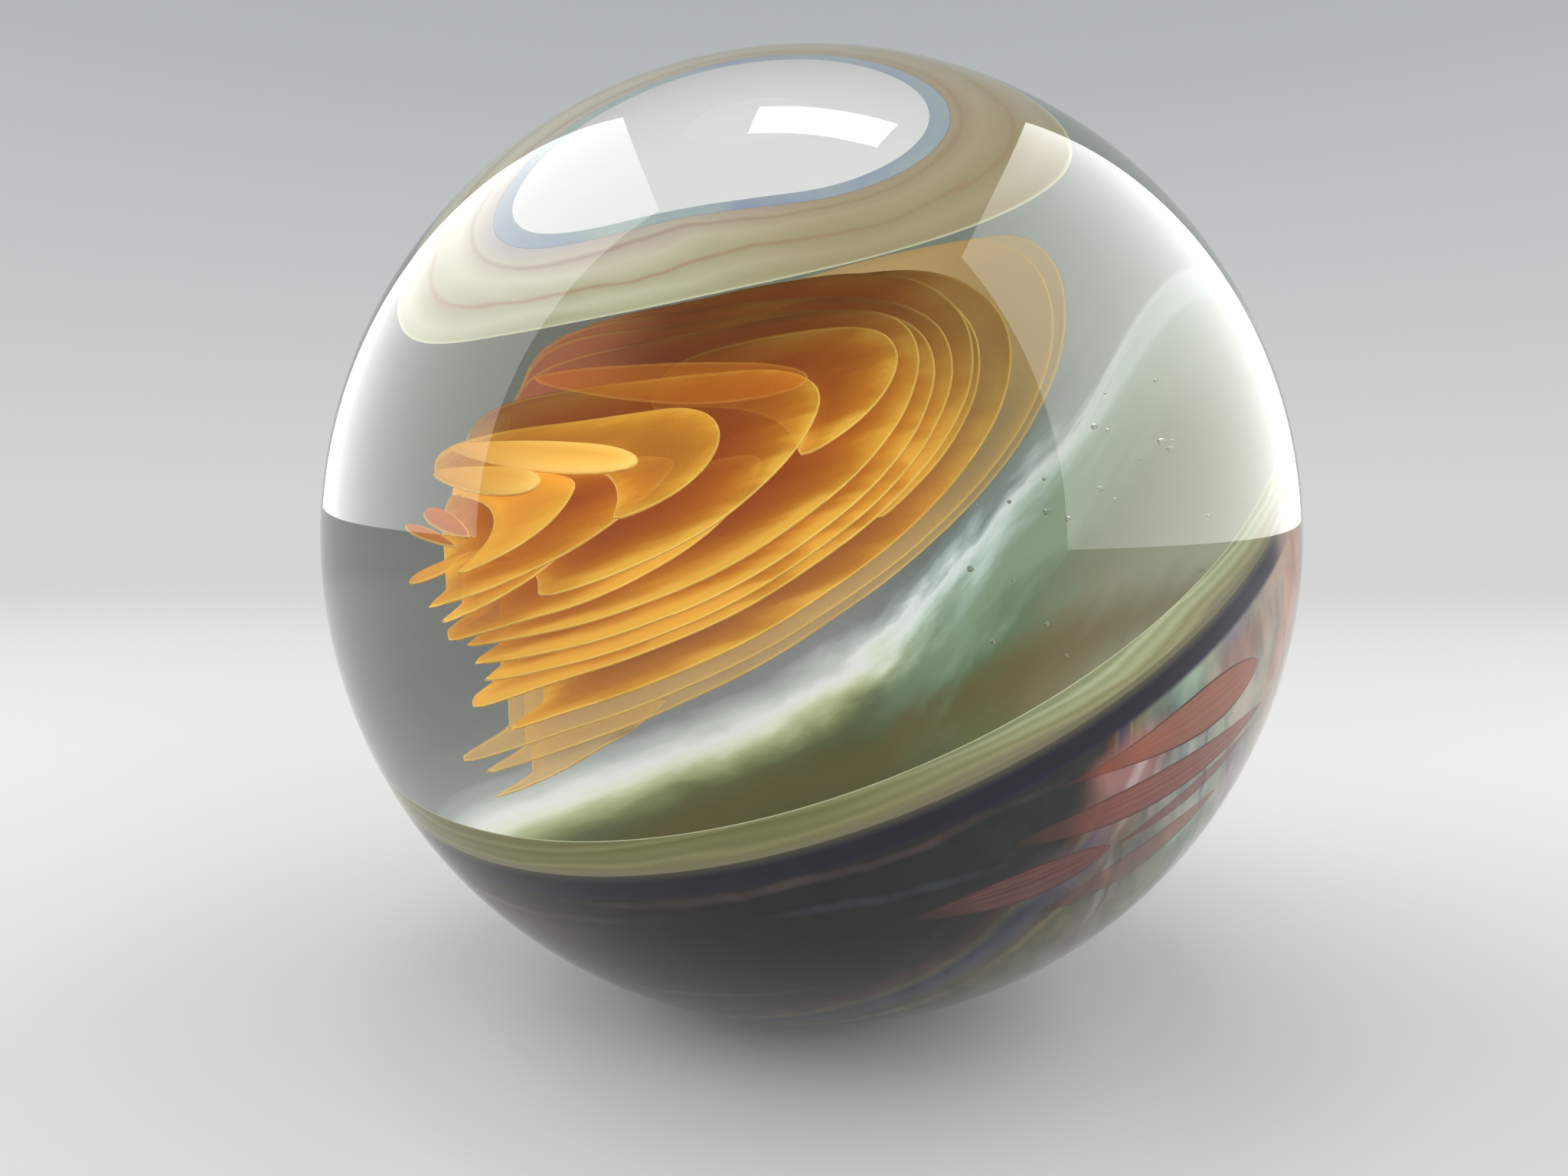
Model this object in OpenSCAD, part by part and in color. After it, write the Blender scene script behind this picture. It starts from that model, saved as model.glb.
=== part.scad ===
// Glass marble: a clear ball over a stack of amber veils, with a fumed glass
// bowl and an indigo backing fused round its lower half.
//
// The ball is one fused piece. Each colour of glass is a solid of its own, and
// together they fill the sphere with no gap: the clear glass is whatever the
// coloured glass leaves. The origin is the ball's centre, +Z is up, and all
// lengths are millimetres.

/* [Ball] */
// Diameter of the whole marble
ball_d = 50; // [49:0.5:60]
// Clear glass over the coloured layers
skin_t = 0.8; // [0.6:0.1:1.2]

/* [Pattern axis] */
// Lean of the clear window's axis away from upright, degrees
window_lean = 33; // [0:1:90]
// Compass direction that the window leans to, degrees
window_turn = -129; // [-180:1:180]
// Turn of the pattern about the window's axis, degrees
pattern_turn = 125; // [-180:1:180]

/* [Fumed bowl] */
// Wall of the bowl, from its cavity to the skin
bowl_wall = 3.2; // [3:0.1:4.5]
// Height of the bowl's flat lip above the ball's centre
lip_h = 0.8; // [-0.4:0.1:2]
// Clear glass left between the bowl's cavity and the veils
veil_clearance = 0.5; // [0.3:0.1:2]

/* [Silver streak] */
// Depth to which the streak is inlaid in the bowl's inner face
streak_t = 0.5; // [0.3:0.1:0.8]
// Direction of the streak's ring round the bowl, degrees
streak_turn = 107; // [60:1:150]
// Rise of the streak's ring above the lip's plane, degrees
streak_rise = -9; // [-20:1:0]
// Radius of the streak's outer edge, measured at the ball's centre, degrees
streak_outer = 34.5; // [25:0.5:45]
// How much smaller the streak's inner edge is, degrees
streak_step = 0.5; // [0:0.5:3]
// Shift of the inner edge that makes the streak a crescent, degrees
streak_shift = 6.5; // [4:0.5:10]

/* [Indigo backing] */
// Thickness of the backing at the bowl's lip
backing_lip_t = 0.5; // [0.4:0.1:1]
// Thickness of the backing at the bottom of the bowl
backing_pole_t = 1.8; // [1.2:0.1:2.2]
// Diameter of the round gap in the backing, where the fumed glass shows
gap_d = 24.6; // [10:0.2:26]
// Direction of the gap, degrees
gap_turn = -57; // [-180:1:180]
// Drop of the gap's middle below the lip's plane, degrees
gap_drop = 33; // [32:1:60]

/* [Rose ribbons] */
// Width of the ribbons, as a share of the widths listed below
ribbon_swell = 1; // [0.6:0.1:1.1]

/* [Amber veils] */
// Height of the highest veil above the ball's centre
veil_top = 8.4; // [7:0.1:9]
// Height from one veil to the next
veil_pitch = 0.64; // [0.5:0.02:0.7]
// Depth of a veil's rim, from its edge to the valley behind it
rim_depth = 1.4; // [0.6:0.1:2]
// Thickness of a veil at its edge
rim_edge = 0.12; // [0.06:0.02:0.3]
// Height of the valley's floor between two rims
valley_h = 0.1; // [0.06:0.01:0.2]
// Distance of the veils' straight front from the window's axis
front_y = 9.8; // [8:0.1:11]
// How far each veil's front stands out from the one above
front_step = 0.08; // [0:0.02:0.15]
// Distance of the cliff at the veils' cut end from the window's axis
cliff_x = 12; // [9:0.5:13]
// Depth of the notches between the spikes of the cliff
cliff_notch = 1.5; // [0.5:0.1:2.5]
// How strongly the cliff curves out towards its top and foot
cliff_bow = 0.035; // [0:0.005:0.05]

/* [Hidden] */

$fn = 120;
cut = 1;                                   // how far cutting solids overshoot

ball_r = ball_d / 2;
colour_r = ball_r - skin_t;                // outer face of the coloured layers
cavity_r = colour_r - bowl_wall;           // inner face of the bowl

// Each veil is a disc whose front edge touches the straight front. A row holds
// how far the disc reaches along the front, and its radius.
veils = [
    [-5.8,  4.5], [-4.4,  5.6], [-1.0,  6.4], [ 3.0,  9.6], [ 5.6, 11.0],
    [ 5.8, 12.0], [ 6.1, 12.4], [ 6.5, 13.3], [ 7.1, 14.2], [ 8.4, 16.0],
    [ 8.6, 16.4], [10.6, 18.6], [10.0, 20.0]
];

// Round bites out of the fronts of some veils, which leave them as crescents
// with a pointed tip: the veil's number, the bite's centre and its radius.
bites = [
    [2, [-11.2, -10.4],  5.8],
    [3, [-15.0,  -9.8],  5.1],
    [4, [ -6.0,  -6.0],  8.4],
    [9, [ -8.0,  -8.0], 10.3]
];

// The back of the whole stack is trimmed to one round.
stack_at = [-5, 3];
stack_r = 16.2;

// Round-ended folds on the upper veils: height, tip, length and half width.
folds = [
    [9.3, [-6.9, -7.7],  5.6, 0.8],
    [8.9, [-3.5, -7.6],  9.8, 1.0],
    [7.0, [ 2.9, -2.4], 10.0, 1.0]
];
fold_turn = -44;                           // direction in which the folds point

// Ribbons on the bowl's outer face: direction, rise above the lip's plane, roll,
// half length and half width, all in degrees.
ribbons = [
    [-55,  -5.6, -11, 14.0, 2.6],
    [-57, -11.0, -14, 17.0, 1.9],
    [-53, -15.4,  -4, 10.0, 0.9],
    [-75, -12.4, -10, 10.5, 2.2],
    [-61, -19.4,  -4, 11.5, 1.9]
];

function veil_z(k) = veil_top - k * veil_pitch;
function veil_front(k) = front_y + k * front_step;
function veil_centre(k) = [veils[k][0] - veils[k][1], veils[k][1] - veil_front(k)];
function cliff_at(k) = -cliff_x - cliff_bow * pow(k - 5, 2);

// Turns the pattern's own frame, whose Z is the window's axis, into place.
module place_pattern() {
    rotate([0, window_lean, window_turn]) rotate([0, 0, pattern_turn]) children();
}

// Turns +X to a direction and a rise, both in degrees.
module aim(turn, rise) {
    rotate([0, -rise, turn]) children();
}

// Everything below the plane of the bowl's lip.
module below_lip() {
    translate([0, 0, lip_h - 2 * ball_r]) cylinder(h = 2 * ball_r, r = ball_r + cut);
}

// A hollow sphere.
module shell(r_out, r_in) {
    difference() {
        sphere(r = r_out);
        sphere(r = r_in);
    }
}

// Half space beyond a circle of the given radius, in degrees, drawn round +X on
// a sphere of radius r.
module beyond_circle(r, degrees) {
    translate([r * cos(degrees), 0, 0]) rotate([0, 90, 0])
        cylinder(h = 2 * r, r = 2 * r);
}

// A core out to the valley and a rim that thins to its edge. The core runs down
// into the veil below, which joins the stack.
module disc(radius) {
    valley = radius - rim_depth;
    rim_top = veil_pitch / 2 - valley_h;
    rotate_extrude()
        polygon([[0, -veil_pitch], [valley, -veil_pitch], [valley, -veil_pitch / 2],
                 [radius, -rim_edge / 2], [radius, rim_edge / 2], [valley, rim_top],
                 [0, rim_top]]);
}

module veil(k) {
    difference() {
        translate([veil_centre(k).x, veil_centre(k).y, veil_z(k)]) disc(veils[k][1]);
        for (b = bites) if (b[0] == k)
            translate([b[1].x, b[1].y, veil_z(k) - 1.5 * veil_pitch])
                cylinder(h = 2.5 * veil_pitch, r = b[2]);
    }
}

// A fold is a rod with a round tip, laid in the plane of the veils.
module fold(height, tip, length, half_w) {
    translate([tip.x, tip.y, height]) rotate([0, 0, fold_turn])
        translate([-half_w, 0, 0]) rotate([0, -90, 0]) {
            sphere(r = half_w, $fn = 48);
            cylinder(h = length - half_w, r = half_w, $fn = 48);
        }
}

// The kept side of the cliff: its edge runs out to a spike at each veil and back
// to a notch in the middle of each valley's floor.
module kept_by_cliff() {
    last = len(veils) - 1;
    far_x = 2 * ball_r;
    notch_z = (veil_pitch + valley_h) / 2;
    edge = [for (k = [last:-1:0])
        each [[cliff_at(k) + cliff_notch, veil_z(k) - notch_z], [cliff_at(k), veil_z(k)]]];
    foot = [cliff_at(last) + cliff_notch, veil_z(last) - ball_r];
    head = [cliff_at(0) + cliff_notch, veil_z(0) + ball_r];
    translate([0, far_x / 2, 0]) rotate([90, 0, 0]) linear_extrude(far_x)
        polygon(concat([[far_x, foot.y], foot], edge,
                       [[head.x, veil_z(0) + veil_pitch - notch_z], head, [far_x, head.y]]));
}

module veil_stack() {
    intersection() {
        union() {
            for (k = [0:len(veils) - 1]) veil(k);
            for (f = folds) fold(f[0], f[1], f[2], f[3]);
        }
        translate([stack_at.x, stack_at.y, 0])
            cylinder(h = 2 * ball_r, r = stack_r, center = true);
        kept_by_cliff();
        sphere(r = cavity_r - veil_clearance);
    }
}

// A crescent between two circles on the bowl's inner face.
module streak_inlay() {
    mid_r = cavity_r + streak_t / 2;
    difference() {
        intersection() {
            shell(cavity_r + streak_t, cavity_r);
            aim(streak_turn, streak_rise) beyond_circle(mid_r, streak_outer);
        }
        aim(streak_turn, streak_rise + streak_shift)
            beyond_circle(mid_r, streak_outer - streak_step);
    }
}

// The backing thickens from the lip to the pole, and has one round gap.
module backing_shell() {
    difference() {
        intersection() {
            sphere(r = colour_r);
            below_lip();
        }
        translate([0, 0, backing_pole_t - backing_lip_t]) sphere(r = colour_r - backing_lip_t);
        aim(gap_turn, -gap_drop) rotate([0, 90, 0]) cylinder(h = 2 * ball_r, r = gap_d / 2);
    }
}

// One ribbon is a sliver of the coloured ball between its outer face and two
// planes that meet under it, so that it is widest and deepest in its middle and
// runs to a point at both ends.
module ribbon(turn, rise, roll, half_l, half_w) {
    foot = colour_r * cos(half_l);
    top = colour_r + cut;
    spread = (top - foot) * sin(half_w) / (cos(half_w) - cos(half_l));
    intersection() {
        sphere(r = colour_r, $fn = 360);
        aim(turn, rise) rotate([roll, 0, 0]) rotate([90, 0, 0])
            linear_extrude(2 * ball_r, center = true)
                polygon([[foot, 0], [top, -spread], [top, spread]]);
    }
}

module ribbon_set() {
    for (r = ribbons) ribbon(r[0], r[1], r[2], r[3], r[4] * ribbon_swell);
}

module bowl_body() {
    difference() {
        intersection() {
            sphere(r = colour_r);
            below_lip();
        }
        sphere(r = cavity_r);
    }
}

module amber_veils() {
    color("#C8701A") place_pattern() veil_stack();
}

module fumed_bowl() {
    color("#7E8A6A") place_pattern() difference() {
        bowl_body();
        backing_shell();
        streak_inlay();
        ribbon_set();
    }
}

module silver_streak() {
    color("#DDE8E4") place_pattern() streak_inlay();
}

module indigo_backing() {
    color("#1A1240") place_pattern() difference() {
        backing_shell();
        ribbon_set();
    }
}

module rose_ribbons() {
    color("#A0604A") place_pattern() ribbon_set();
}

module clear_glass() {
    color("#DCE8E6", 0.3) difference() {
        sphere(r = ball_r);
        place_pattern() {
            bowl_body();
            veil_stack();
        }
    }
}

clear_glass();
amber_veils();
fumed_bowl();
silver_streak();
indigo_backing();
rose_ribbons();
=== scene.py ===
"""Glass marble: a clear crystal ball over amber veils, a fumed bowl and an indigo backing.

Every shape is worked out in millimetres in the pattern's own frame, whose Z is the axis
of the clear window, and is then turned into place and scaled to metres.
"""

import logging
import math
from dataclasses import dataclass, field
from enum import Enum
from typing import Callable, Sequence

import bmesh
import bpy
from mathutils import Matrix, Vector
from mathutils.kdtree import KDTree


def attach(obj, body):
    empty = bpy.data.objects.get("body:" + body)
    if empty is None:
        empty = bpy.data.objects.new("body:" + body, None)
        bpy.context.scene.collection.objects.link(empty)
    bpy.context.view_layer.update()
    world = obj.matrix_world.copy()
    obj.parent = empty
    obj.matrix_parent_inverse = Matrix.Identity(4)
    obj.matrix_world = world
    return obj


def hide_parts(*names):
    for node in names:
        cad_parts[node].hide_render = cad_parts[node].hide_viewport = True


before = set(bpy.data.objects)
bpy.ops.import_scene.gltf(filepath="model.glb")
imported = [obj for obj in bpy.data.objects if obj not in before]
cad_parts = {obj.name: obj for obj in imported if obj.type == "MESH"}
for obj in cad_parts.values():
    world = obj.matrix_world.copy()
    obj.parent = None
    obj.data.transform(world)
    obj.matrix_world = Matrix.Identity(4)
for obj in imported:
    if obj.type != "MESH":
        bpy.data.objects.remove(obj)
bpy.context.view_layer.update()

LOG = logging.getLogger("marble")
MM = 0.001
DEGREES = 180 / math.pi
BODY = "root"
SHARP = math.radians(40)  # past this angle between faces an edge shades sharp
TINY = 1e-6  # a radius below this lies on the axis

Point2 = tuple[float, float]
Point3 = tuple[float, float, float]
Stops = Sequence[tuple[float, str]]
Tree = bpy.types.NodeTree
Node = bpy.types.Node
Mesh = bpy.types.Mesh
Piece = bpy.types.Object
Vert = bmesh.types.BMVert
Work = bmesh.types.BMesh
Inputs = dict[int | str, object] | tuple[object, ...]

MATH = "ShaderNodeMath"
VECTOR_MATH = "ShaderNodeVectorMath"
RANGE = "ShaderNodeMapRange"
MIX = "ShaderNodeMix"
NOISE = "ShaderNodeTexNoise"
JOIN = "ShaderNodeCombineXYZ"
SPLIT = "ShaderNodeSeparateXYZ"
ATTRIBUTE = "ShaderNodeAttribute"
PLACE = "ShaderNodeTexCoord"
MAPPING = "ShaderNodeMapping"
PRINCIPLED = "ShaderNodeBsdfPrincipled"
TRANSPARENT = "ShaderNodeBsdfTransparent"
MIX_SHADER = "ShaderNodeMixShader"
LIGHT_PATH = "ShaderNodeLightPath"
BACKGROUND = "ShaderNodeBackground"
SOFT = {"interpolation_type": "SMOOTHSTEP"}
COLOUR = {"data_type": "RGBA"}
SEALED = {"Roughness": 0.5, "Specular IOR Level": 0.0}  # glass fused inside glass has no gloss of its own


def linear(code: str) -> tuple[float, float, float, float]:
    """Turn an sRGB hex colour into linear red, green, blue and a full alpha.

    Args:
        code: The colour as #RRGGBB.

    Returns:
        Red, green, blue and alpha for a shader socket.
    """
    parts = [int(code[i : i + 2], 16) / 255 for i in (1, 3, 5)]
    curve = [c / 12.92 if c <= 0.04045 else ((c + 0.055) / 1.055) ** 2.4 for c in parts]
    return (*curve, 1.0)


def add(tree: Tree, kind: str, ins: Inputs = (), **settings: object) -> Node:
    """Add one node with its settings, values and links.

    Args:
        tree: The shader or geometry tree.
        kind: The node's type name.
        ins: Inputs by number or name, or in the order of those in use. A node stands for its
            first output in use, and a hex code for its colour.
        settings: Attributes to set before the inputs.

    Returns:
        The new node.
    """
    node = tree.nodes.new(kind)
    for name, value in settings.items():
        setattr(node, name, value)
    if isinstance(ins, tuple):
        ins = dict(zip((i for i, socket in enumerate(node.inputs) if socket.enabled), ins))
    for key, value in ins.items():
        if isinstance(value, Node):
            value = next(socket for socket in value.outputs if socket.enabled)
        if isinstance(value, bpy.types.NodeSocket):
            tree.links.new(value, node.inputs[key])
        else:
            is_code = isinstance(value, str) and value.startswith("#")
            node.inputs[key].default_value = linear(value) if is_code else value
    return node


def lay(tree: Tree, colour: object, *layers: tuple[object, ...]) -> Node:
    """Lay colours over one another, each as far as a soft step of a value says.

    Args:
        tree: The shader tree.
        colour: The lowest colour.
        layers: The value to read, its low and its high, the cover at each where they aren't
            0 and 1, and the colour on top.

    Returns:
        The node that gives the topmost mix.
    """
    for *reading, over in layers:
        cover = add(tree, RANGE, tuple(reading), **SOFT)
        colour = add(tree, MIX, (cover, colour, over), **COLOUR)
    return colour


def temper(tree: Tree, value: object, *terms: tuple[object, ...]) -> Node:
    """Change a value by soft steps of other values.

    Args:
        tree: The shader tree.
        value: The value to start from.
        terms: The operation, the value to read, its low and its high, and the step's value at each.

    Returns:
        The node that gives the last result.
    """
    for operation, *reading in terms:
        value = add(tree, MATH, (value, add(tree, RANGE, tuple(reading), **SOFT)), operation=operation)
    return value


def ramp_over(tree: Tree, value: object, stops: Stops) -> Node:
    """Add a colour ramp over a value, from its first stop to its last.

    Args:
        tree: The shader tree.
        value: The socket or node to read.
        stops: Positions from low to high with their hex colours.

    Returns:
        The node that gives the colour.
    """
    low, high = stops[0][0], stops[-1][0]
    node = add(tree, "ShaderNodeValToRGB", (add(tree, RANGE, (value, low, high)),))
    ramp = node.color_ramp
    ramp.elements.remove(ramp.elements[-1])
    for i, (position, code) in enumerate(stops):
        place = (position - low) / (high - low)
        element = ramp.elements.new(place) if i else ramp.elements[0]
        element.position = place
        element.color = linear(code)
    return node


def follow(tree: Tree, value: object, points: Sequence[Point2], span: float = 200.0) -> Node:
    """Add a smooth curve through points of degrees against degrees.

    Args:
        tree: The shader tree.
        value: The socket or node to read.
        points: The curve's points.
        span: What the curve's height stands for, with 0 in its middle.

    Returns:
        The node that gives the curve's value.
    """
    low, high = points[0][0], points[-1][0]
    node = add(tree, "ShaderNodeFloatCurve", {"Value": add(tree, RANGE, (value, low, high))})
    curve = node.mapping.curves[0]
    placed = [((x - low) / (high - low), y / span + 0.5) for x, y in points]
    curve.points[0].location = placed[0]
    curve.points[1].location = placed[-1]
    for point in placed[1:-1]:
        curve.points.new(*point)
    node.mapping.update()
    return add(tree, RANGE, {"Value": node, "To Min": -span / 2, "To Max": span / 2})


def seen(tree: Tree) -> Node:
    """Add a switch that is on for what is looked at, mirrored or seen through glass.

    Args:
        tree: The shader tree.

    Returns:
        The node that gives 1 or 0.
    """
    rays = add(tree, LIGHT_PATH).outputs
    either = add(tree, MATH, (rays["Is Camera Ray"], rays["Is Glossy Ray"]), operation="MAXIMUM")
    return add(tree, MATH, (either, rays["Is Transmission Ray"]), operation="MAXIMUM")


@dataclass(frozen=True)
class PatternFrame:
    """How the pattern stands in the ball, in degrees.

    Args:
        lean: Lean of the window's axis away from upright.
        turn: Compass direction that the window leans to.
        spin: Turn of the pattern about the window's axis.
    """

    lean: float = 33.0
    turn: float = -129.0
    spin: float = 125.0

    def matrix(self) -> Matrix:
        """Return the turn from the pattern's frame to the ball's frame."""
        result = Matrix.Identity(4)
        for angle, axis in ((self.turn, "Z"), (self.lean, "Y"), (self.spin, "Z")):
            result = result @ Matrix.Rotation(math.radians(angle), 4, axis)
        return result

    def settle(self, mesh: Mesh) -> None:
        """Turn a mesh from pattern millimetres into the ball's metres."""
        mesh.transform(Matrix.Scale(MM, 4) @ self.matrix())


@dataclass(frozen=True)
class Radii:
    """The marble's main radii, in millimetres.

    Args:
        ball: Outside of the clear ball.
        colour: Outer face of the coloured layers.
        cavity: Inner face of the bowl.
    """

    ball: float = 25.0
    colour: float = 24.2
    cavity: float = 21.0


PATTERN = PatternFrame()
RADII = Radii()


@dataclass(frozen=True)
class Coordinates:
    """Sockets that tell a material where it is in the pattern's frame.

    Args:
        place: The point in millimetres.
        across: Its first coordinate.
        along: Its second coordinate.
        turn: Its direction round the axis, in degrees.
        rise: Its rise above the lip's plane, in degrees.
        distance: Its distance from the ball's centre, in millimetres.
    """

    place: bpy.types.NodeSocket
    across: bpy.types.NodeSocket
    along: bpy.types.NodeSocket
    turn: Node
    rise: Node
    distance: bpy.types.NodeSocket


def coordinates(tree: Tree) -> Coordinates:
    """Add the nodes that give a point's place in the pattern's frame.

    Args:
        tree: The shader tree.

    Returns:
        The place as sockets.
    """
    back = PATTERN.matrix().to_3x3().transposed().to_euler()
    given = {"Vector": add(tree, PLACE).outputs["Object"], "Rotation": back, "Scale": (1 / MM,) * 3}
    place = add(tree, MAPPING, given, vector_type="POINT").outputs[0]
    across, along, height = add(tree, SPLIT, (place,)).outputs
    distance = add(tree, VECTOR_MATH, (place,), operation="LENGTH").outputs["Value"]
    angle = add(tree, MATH, (along, across), operation="ARCTAN2")
    slope = add(tree, MATH, (add(tree, MATH, (height, distance), operation="DIVIDE"),), operation="ARCSINE")
    turn, rise = (add(tree, MATH, (radians, DEGREES), operation="MULTIPLY") for radians in (angle, slope))
    return Coordinates(place, across, along, turn, rise, distance)


@dataclass(frozen=True)
class Finish:
    """What a piece is made of and how its surface was made.

    Args:
        name: The material's name.
    """

    name: str

    def surface(self, tree: Tree) -> Node:
        """Add the finish's nodes and return the one that gives its shader."""
        raise NotImplementedError

    def make(self) -> bpy.types.Material:
        """Build the material."""
        material = bpy.data.materials.new(self.name)
        material.use_nodes = True
        tree = material.node_tree
        tree.nodes.clear()
        add(tree, "ShaderNodeOutputMaterial", {"Surface": self.surface(tree)})
        return material


@dataclass(frozen=True)
class ClearCrystal(Finish):
    """Borosilicate glass, gathered hot and fire-polished: water clear, with faint scuffs from handling.

    Args:
        tint: Colour of the glass.
        ior: Index of refraction of borosilicate.
        scuff: Roughness where the ball has been handled.
        scuff_size: Size of the scuffs each way, in millimetres.
        lamp_share: Share of a lamp's light that passes to what is inside.
    """

    name: str = "fire_polished_borosilicate"
    tint: str = "#FAFDFC"
    ior: float = 1.47
    scuff: float = 0.02
    scuff_size: Point3 = (5.0, 0.625, 2.0)
    lamp_share: str = "#F7FAFA"

    def surface(self, tree: Tree) -> Node:
        """Add clear glass that lets lamps shine through to what is inside.

        Args:
            tree: The shader tree.

        Returns:
            The node that gives its shader.
        """
        pitch = tuple(1 / size for size in self.scuff_size)
        scuff_at = add(tree, VECTOR_MATH, (coordinates(tree).place, pitch), operation="MULTIPLY")
        scuff = add(tree, NOISE, {"Vector": scuff_at, "Scale": 1.0, "Detail": 3.0})
        rough = add(tree, RANGE, (scuff, 0.68, 0.8, 0.0, self.scuff), **SOFT)
        glass = {"Base Color": self.tint, "IOR": self.ior, "Transmission Weight": 1.0, "Roughness": rough}
        body = add(tree, PRINCIPLED, glass)
        lamp = add(tree, TRANSPARENT, (self.lamp_share,))
        return add(tree, MIX_SHADER, (add(tree, LIGHT_PATH).outputs["Is Shadow Ray"], body, lamp))


# Painted light and shade of a film by depth from its edge: bright where its rounded edge catches the light,
# darker further in where the films above shade it.
FILM_LIGHT_TO_SHADE = (
    (0.0, "#CE9C36"), (0.35, "#BA8222"), (0.9, "#9A5E0E"), (1.8, "#844606"), (3.2, "#723203"),
    (5.0, "#602802"),
)
# Painted light and shade of a fold by depth from its edge: a highlight on its rounded edge, darker further
# in.
FOLD_LIGHT_TO_SHADE = (
    (0.0, "#F6CF72"), (0.3, "#E8B858"), (0.8, "#D9A244"), (1.2, "#CE9236"),
)


@dataclass(frozen=True)
class AmberSheetGlass(Finish):
    """Transparent amber rod pulled into thin films: deep orange in a stack, with a painted highlight at each
    fire-rounded edge and painted shade further in.

    Args:
        line: Colour of the painted highlight, a thin bright line along a film's rounded edge.
        golden: Colour of the small films on top.
        tan: Colour of the outer films, which are thinner and take up grey.
        deep: Colour of the painted shade at the back, where many films overlap.
        olive: Colour towards the right end.
        fold_shaded_end: Colour of a fold's left end, where the painted shade along the fold is darkest.
        red: Colour of the small reddened lobes.
        orange: Colour of the long tongue.
        rose: Colour of the far left corner.
        see_through: What a single film lets through.
        unlit: What it lets through of a lamp's light.
        shadow_cover: How much of a lamp's light one film takes away.
        cloud: Size of the clouds in the glass, in millimetres.
    """

    name: str = "amber_film_glass"
    line: str = "#F4D070"
    golden: str = "#CE9632"
    tan: str = "#A08A60"
    deep: str = "#481E02"
    olive: str = "#6E5A2C"
    fold_shaded_end: str = "#C08830"
    red: str = "#A86026"
    orange: str = "#A05A10"
    rose: str = "#7A4838"
    see_through: str = "#FEF8EC"
    unlit: str = "#FFFFFF"
    shadow_cover: float = 0.03
    cloud: float = 5 / 3

    def surface(self, tree: Tree) -> Node:
        """Add the films' and folds' colours and how much each covers.

        Args:
            tree: The shader tree.

        Returns:
            The node that gives its shader.
        """
        place = coordinates(tree)
        names = ("rim_depth", "film_tone")
        depth, level = (add(tree, ATTRIBUTE, attribute_name=name).outputs["Fac"] for name in names)
        grain_at = add(tree, VECTOR_MATH, (place.place, (0.25, 0.9, 0.9)), operation="MULTIPLY")
        grain = add(tree, NOISE, {"Vector": grain_at, "Scale": 1 / self.cloud, "Detail": 4.0})
        swayed = temper(tree, depth, ("ADD", grain, 0.3, 0.7, -0.5, 0.5))
        ninth = add(tree, MATH, (level, 9.0), operation="SUBTRACT")
        ninth = add(tree, MATH, (ninth,), operation="ABSOLUTE")
        # Painted light and shade: the films' colour by depth from the edge, lit at the edge and shaded
        # further in.
        body = lay(
            tree,
            ramp_over(tree, swayed, FILM_LIGHT_TO_SHADE),
            (level, 0.0, 1.8, 0.6, 0.0, self.golden),
            (ninth, 0.2, 0.6, 0.6, 0.0, self.golden),
            # Painted shade at the back, where many films overlap.
            (place.along, -3.0, 7.0, 0.0, 0.9, self.deep),
            (level, 10.1, 10.9, 0.0, 0.7, self.tan),
        )
        corner = add(tree, RANGE, (place.across, -3.0, -9.0), **SOFT)
        corner = temper(tree, corner, ("MULTIPLY", place.along, 3.0, 9.0, 0.0, 0.8))
        body = add(tree, MIX, (corner, body, self.rose), **COLOUR)
        body = lay(tree, body, (place.across, 3.0, 10.0, 0.0, 0.6, self.olive))
        # Painted light and shade of the folds: shaded at the left end, lit at the rounded edges towards the
        # tip.
        fold_body = lay(
            tree,
            self.fold_shaded_end,
            (place.across, -11.5, -5.0, ramp_over(tree, depth, FOLD_LIGHT_TO_SHADE)),
            (level, -1.9, -1.1, 1.0, 0.0, self.red),
            (level, -2.9, -2.1, 1.0, 0.0, self.orange),
        )
        fold = add(tree, RANGE, (level, -0.5, 0.0, 1.0, 0.0), **SOFT)
        body = add(tree, MIX, (fold, body, fold_body), **COLOUR)
        # Painted highlight: a thin bright line along each rounded edge.
        colour = lay(tree, body, (depth, 0.0, 0.07, 0.55, 0.0, self.line))
        cover = temper(
            tree,
            add(tree, RANGE, (level, 10.1, 10.9, 0.6, 0.28), **SOFT),
            ("ADD", place.along, 3.0, 8.0, 0.0, 0.25),
            ("MULTIPLY", place.across, 3.0, 8.0, 1.0, 0.45),
            ("MULTIPLY", corner, 0.0, 0.8, 1.0, 0.4),
            ("ADD", depth, 0.0, 0.8, 0.24, 0.0),
        )
        fold_cover = add(tree, RANGE, (level, -3.0, -2.0, 0.16, 0.86), **SOFT)
        cover = add(tree, MIX, (fold, cover, fold_cover), **COLOUR)
        shadow = add(tree, LIGHT_PATH).outputs["Is Shadow Ray"]
        lit = add(tree, MATH, (1.0, shadow), operation="SUBTRACT")
        cover = add(tree, MATH, (cover, lit), operation="MULTIPLY")
        shade = add(tree, MATH, (shadow, self.shadow_cover), operation="MULTIPLY")
        cover = add(tree, MATH, (cover, shade), operation="ADD")
        clear = add(tree, TRANSPARENT, (add(tree, MIX, (shadow, self.see_through, self.unlit), **COLOUR),))
        solid = add(tree, PRINCIPLED, {"Base Color": colour, "Roughness": 0.45, "Specular IOR Level": 0.0})
        return add(tree, MIX_SHADER, (cover, clear, solid))


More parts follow.
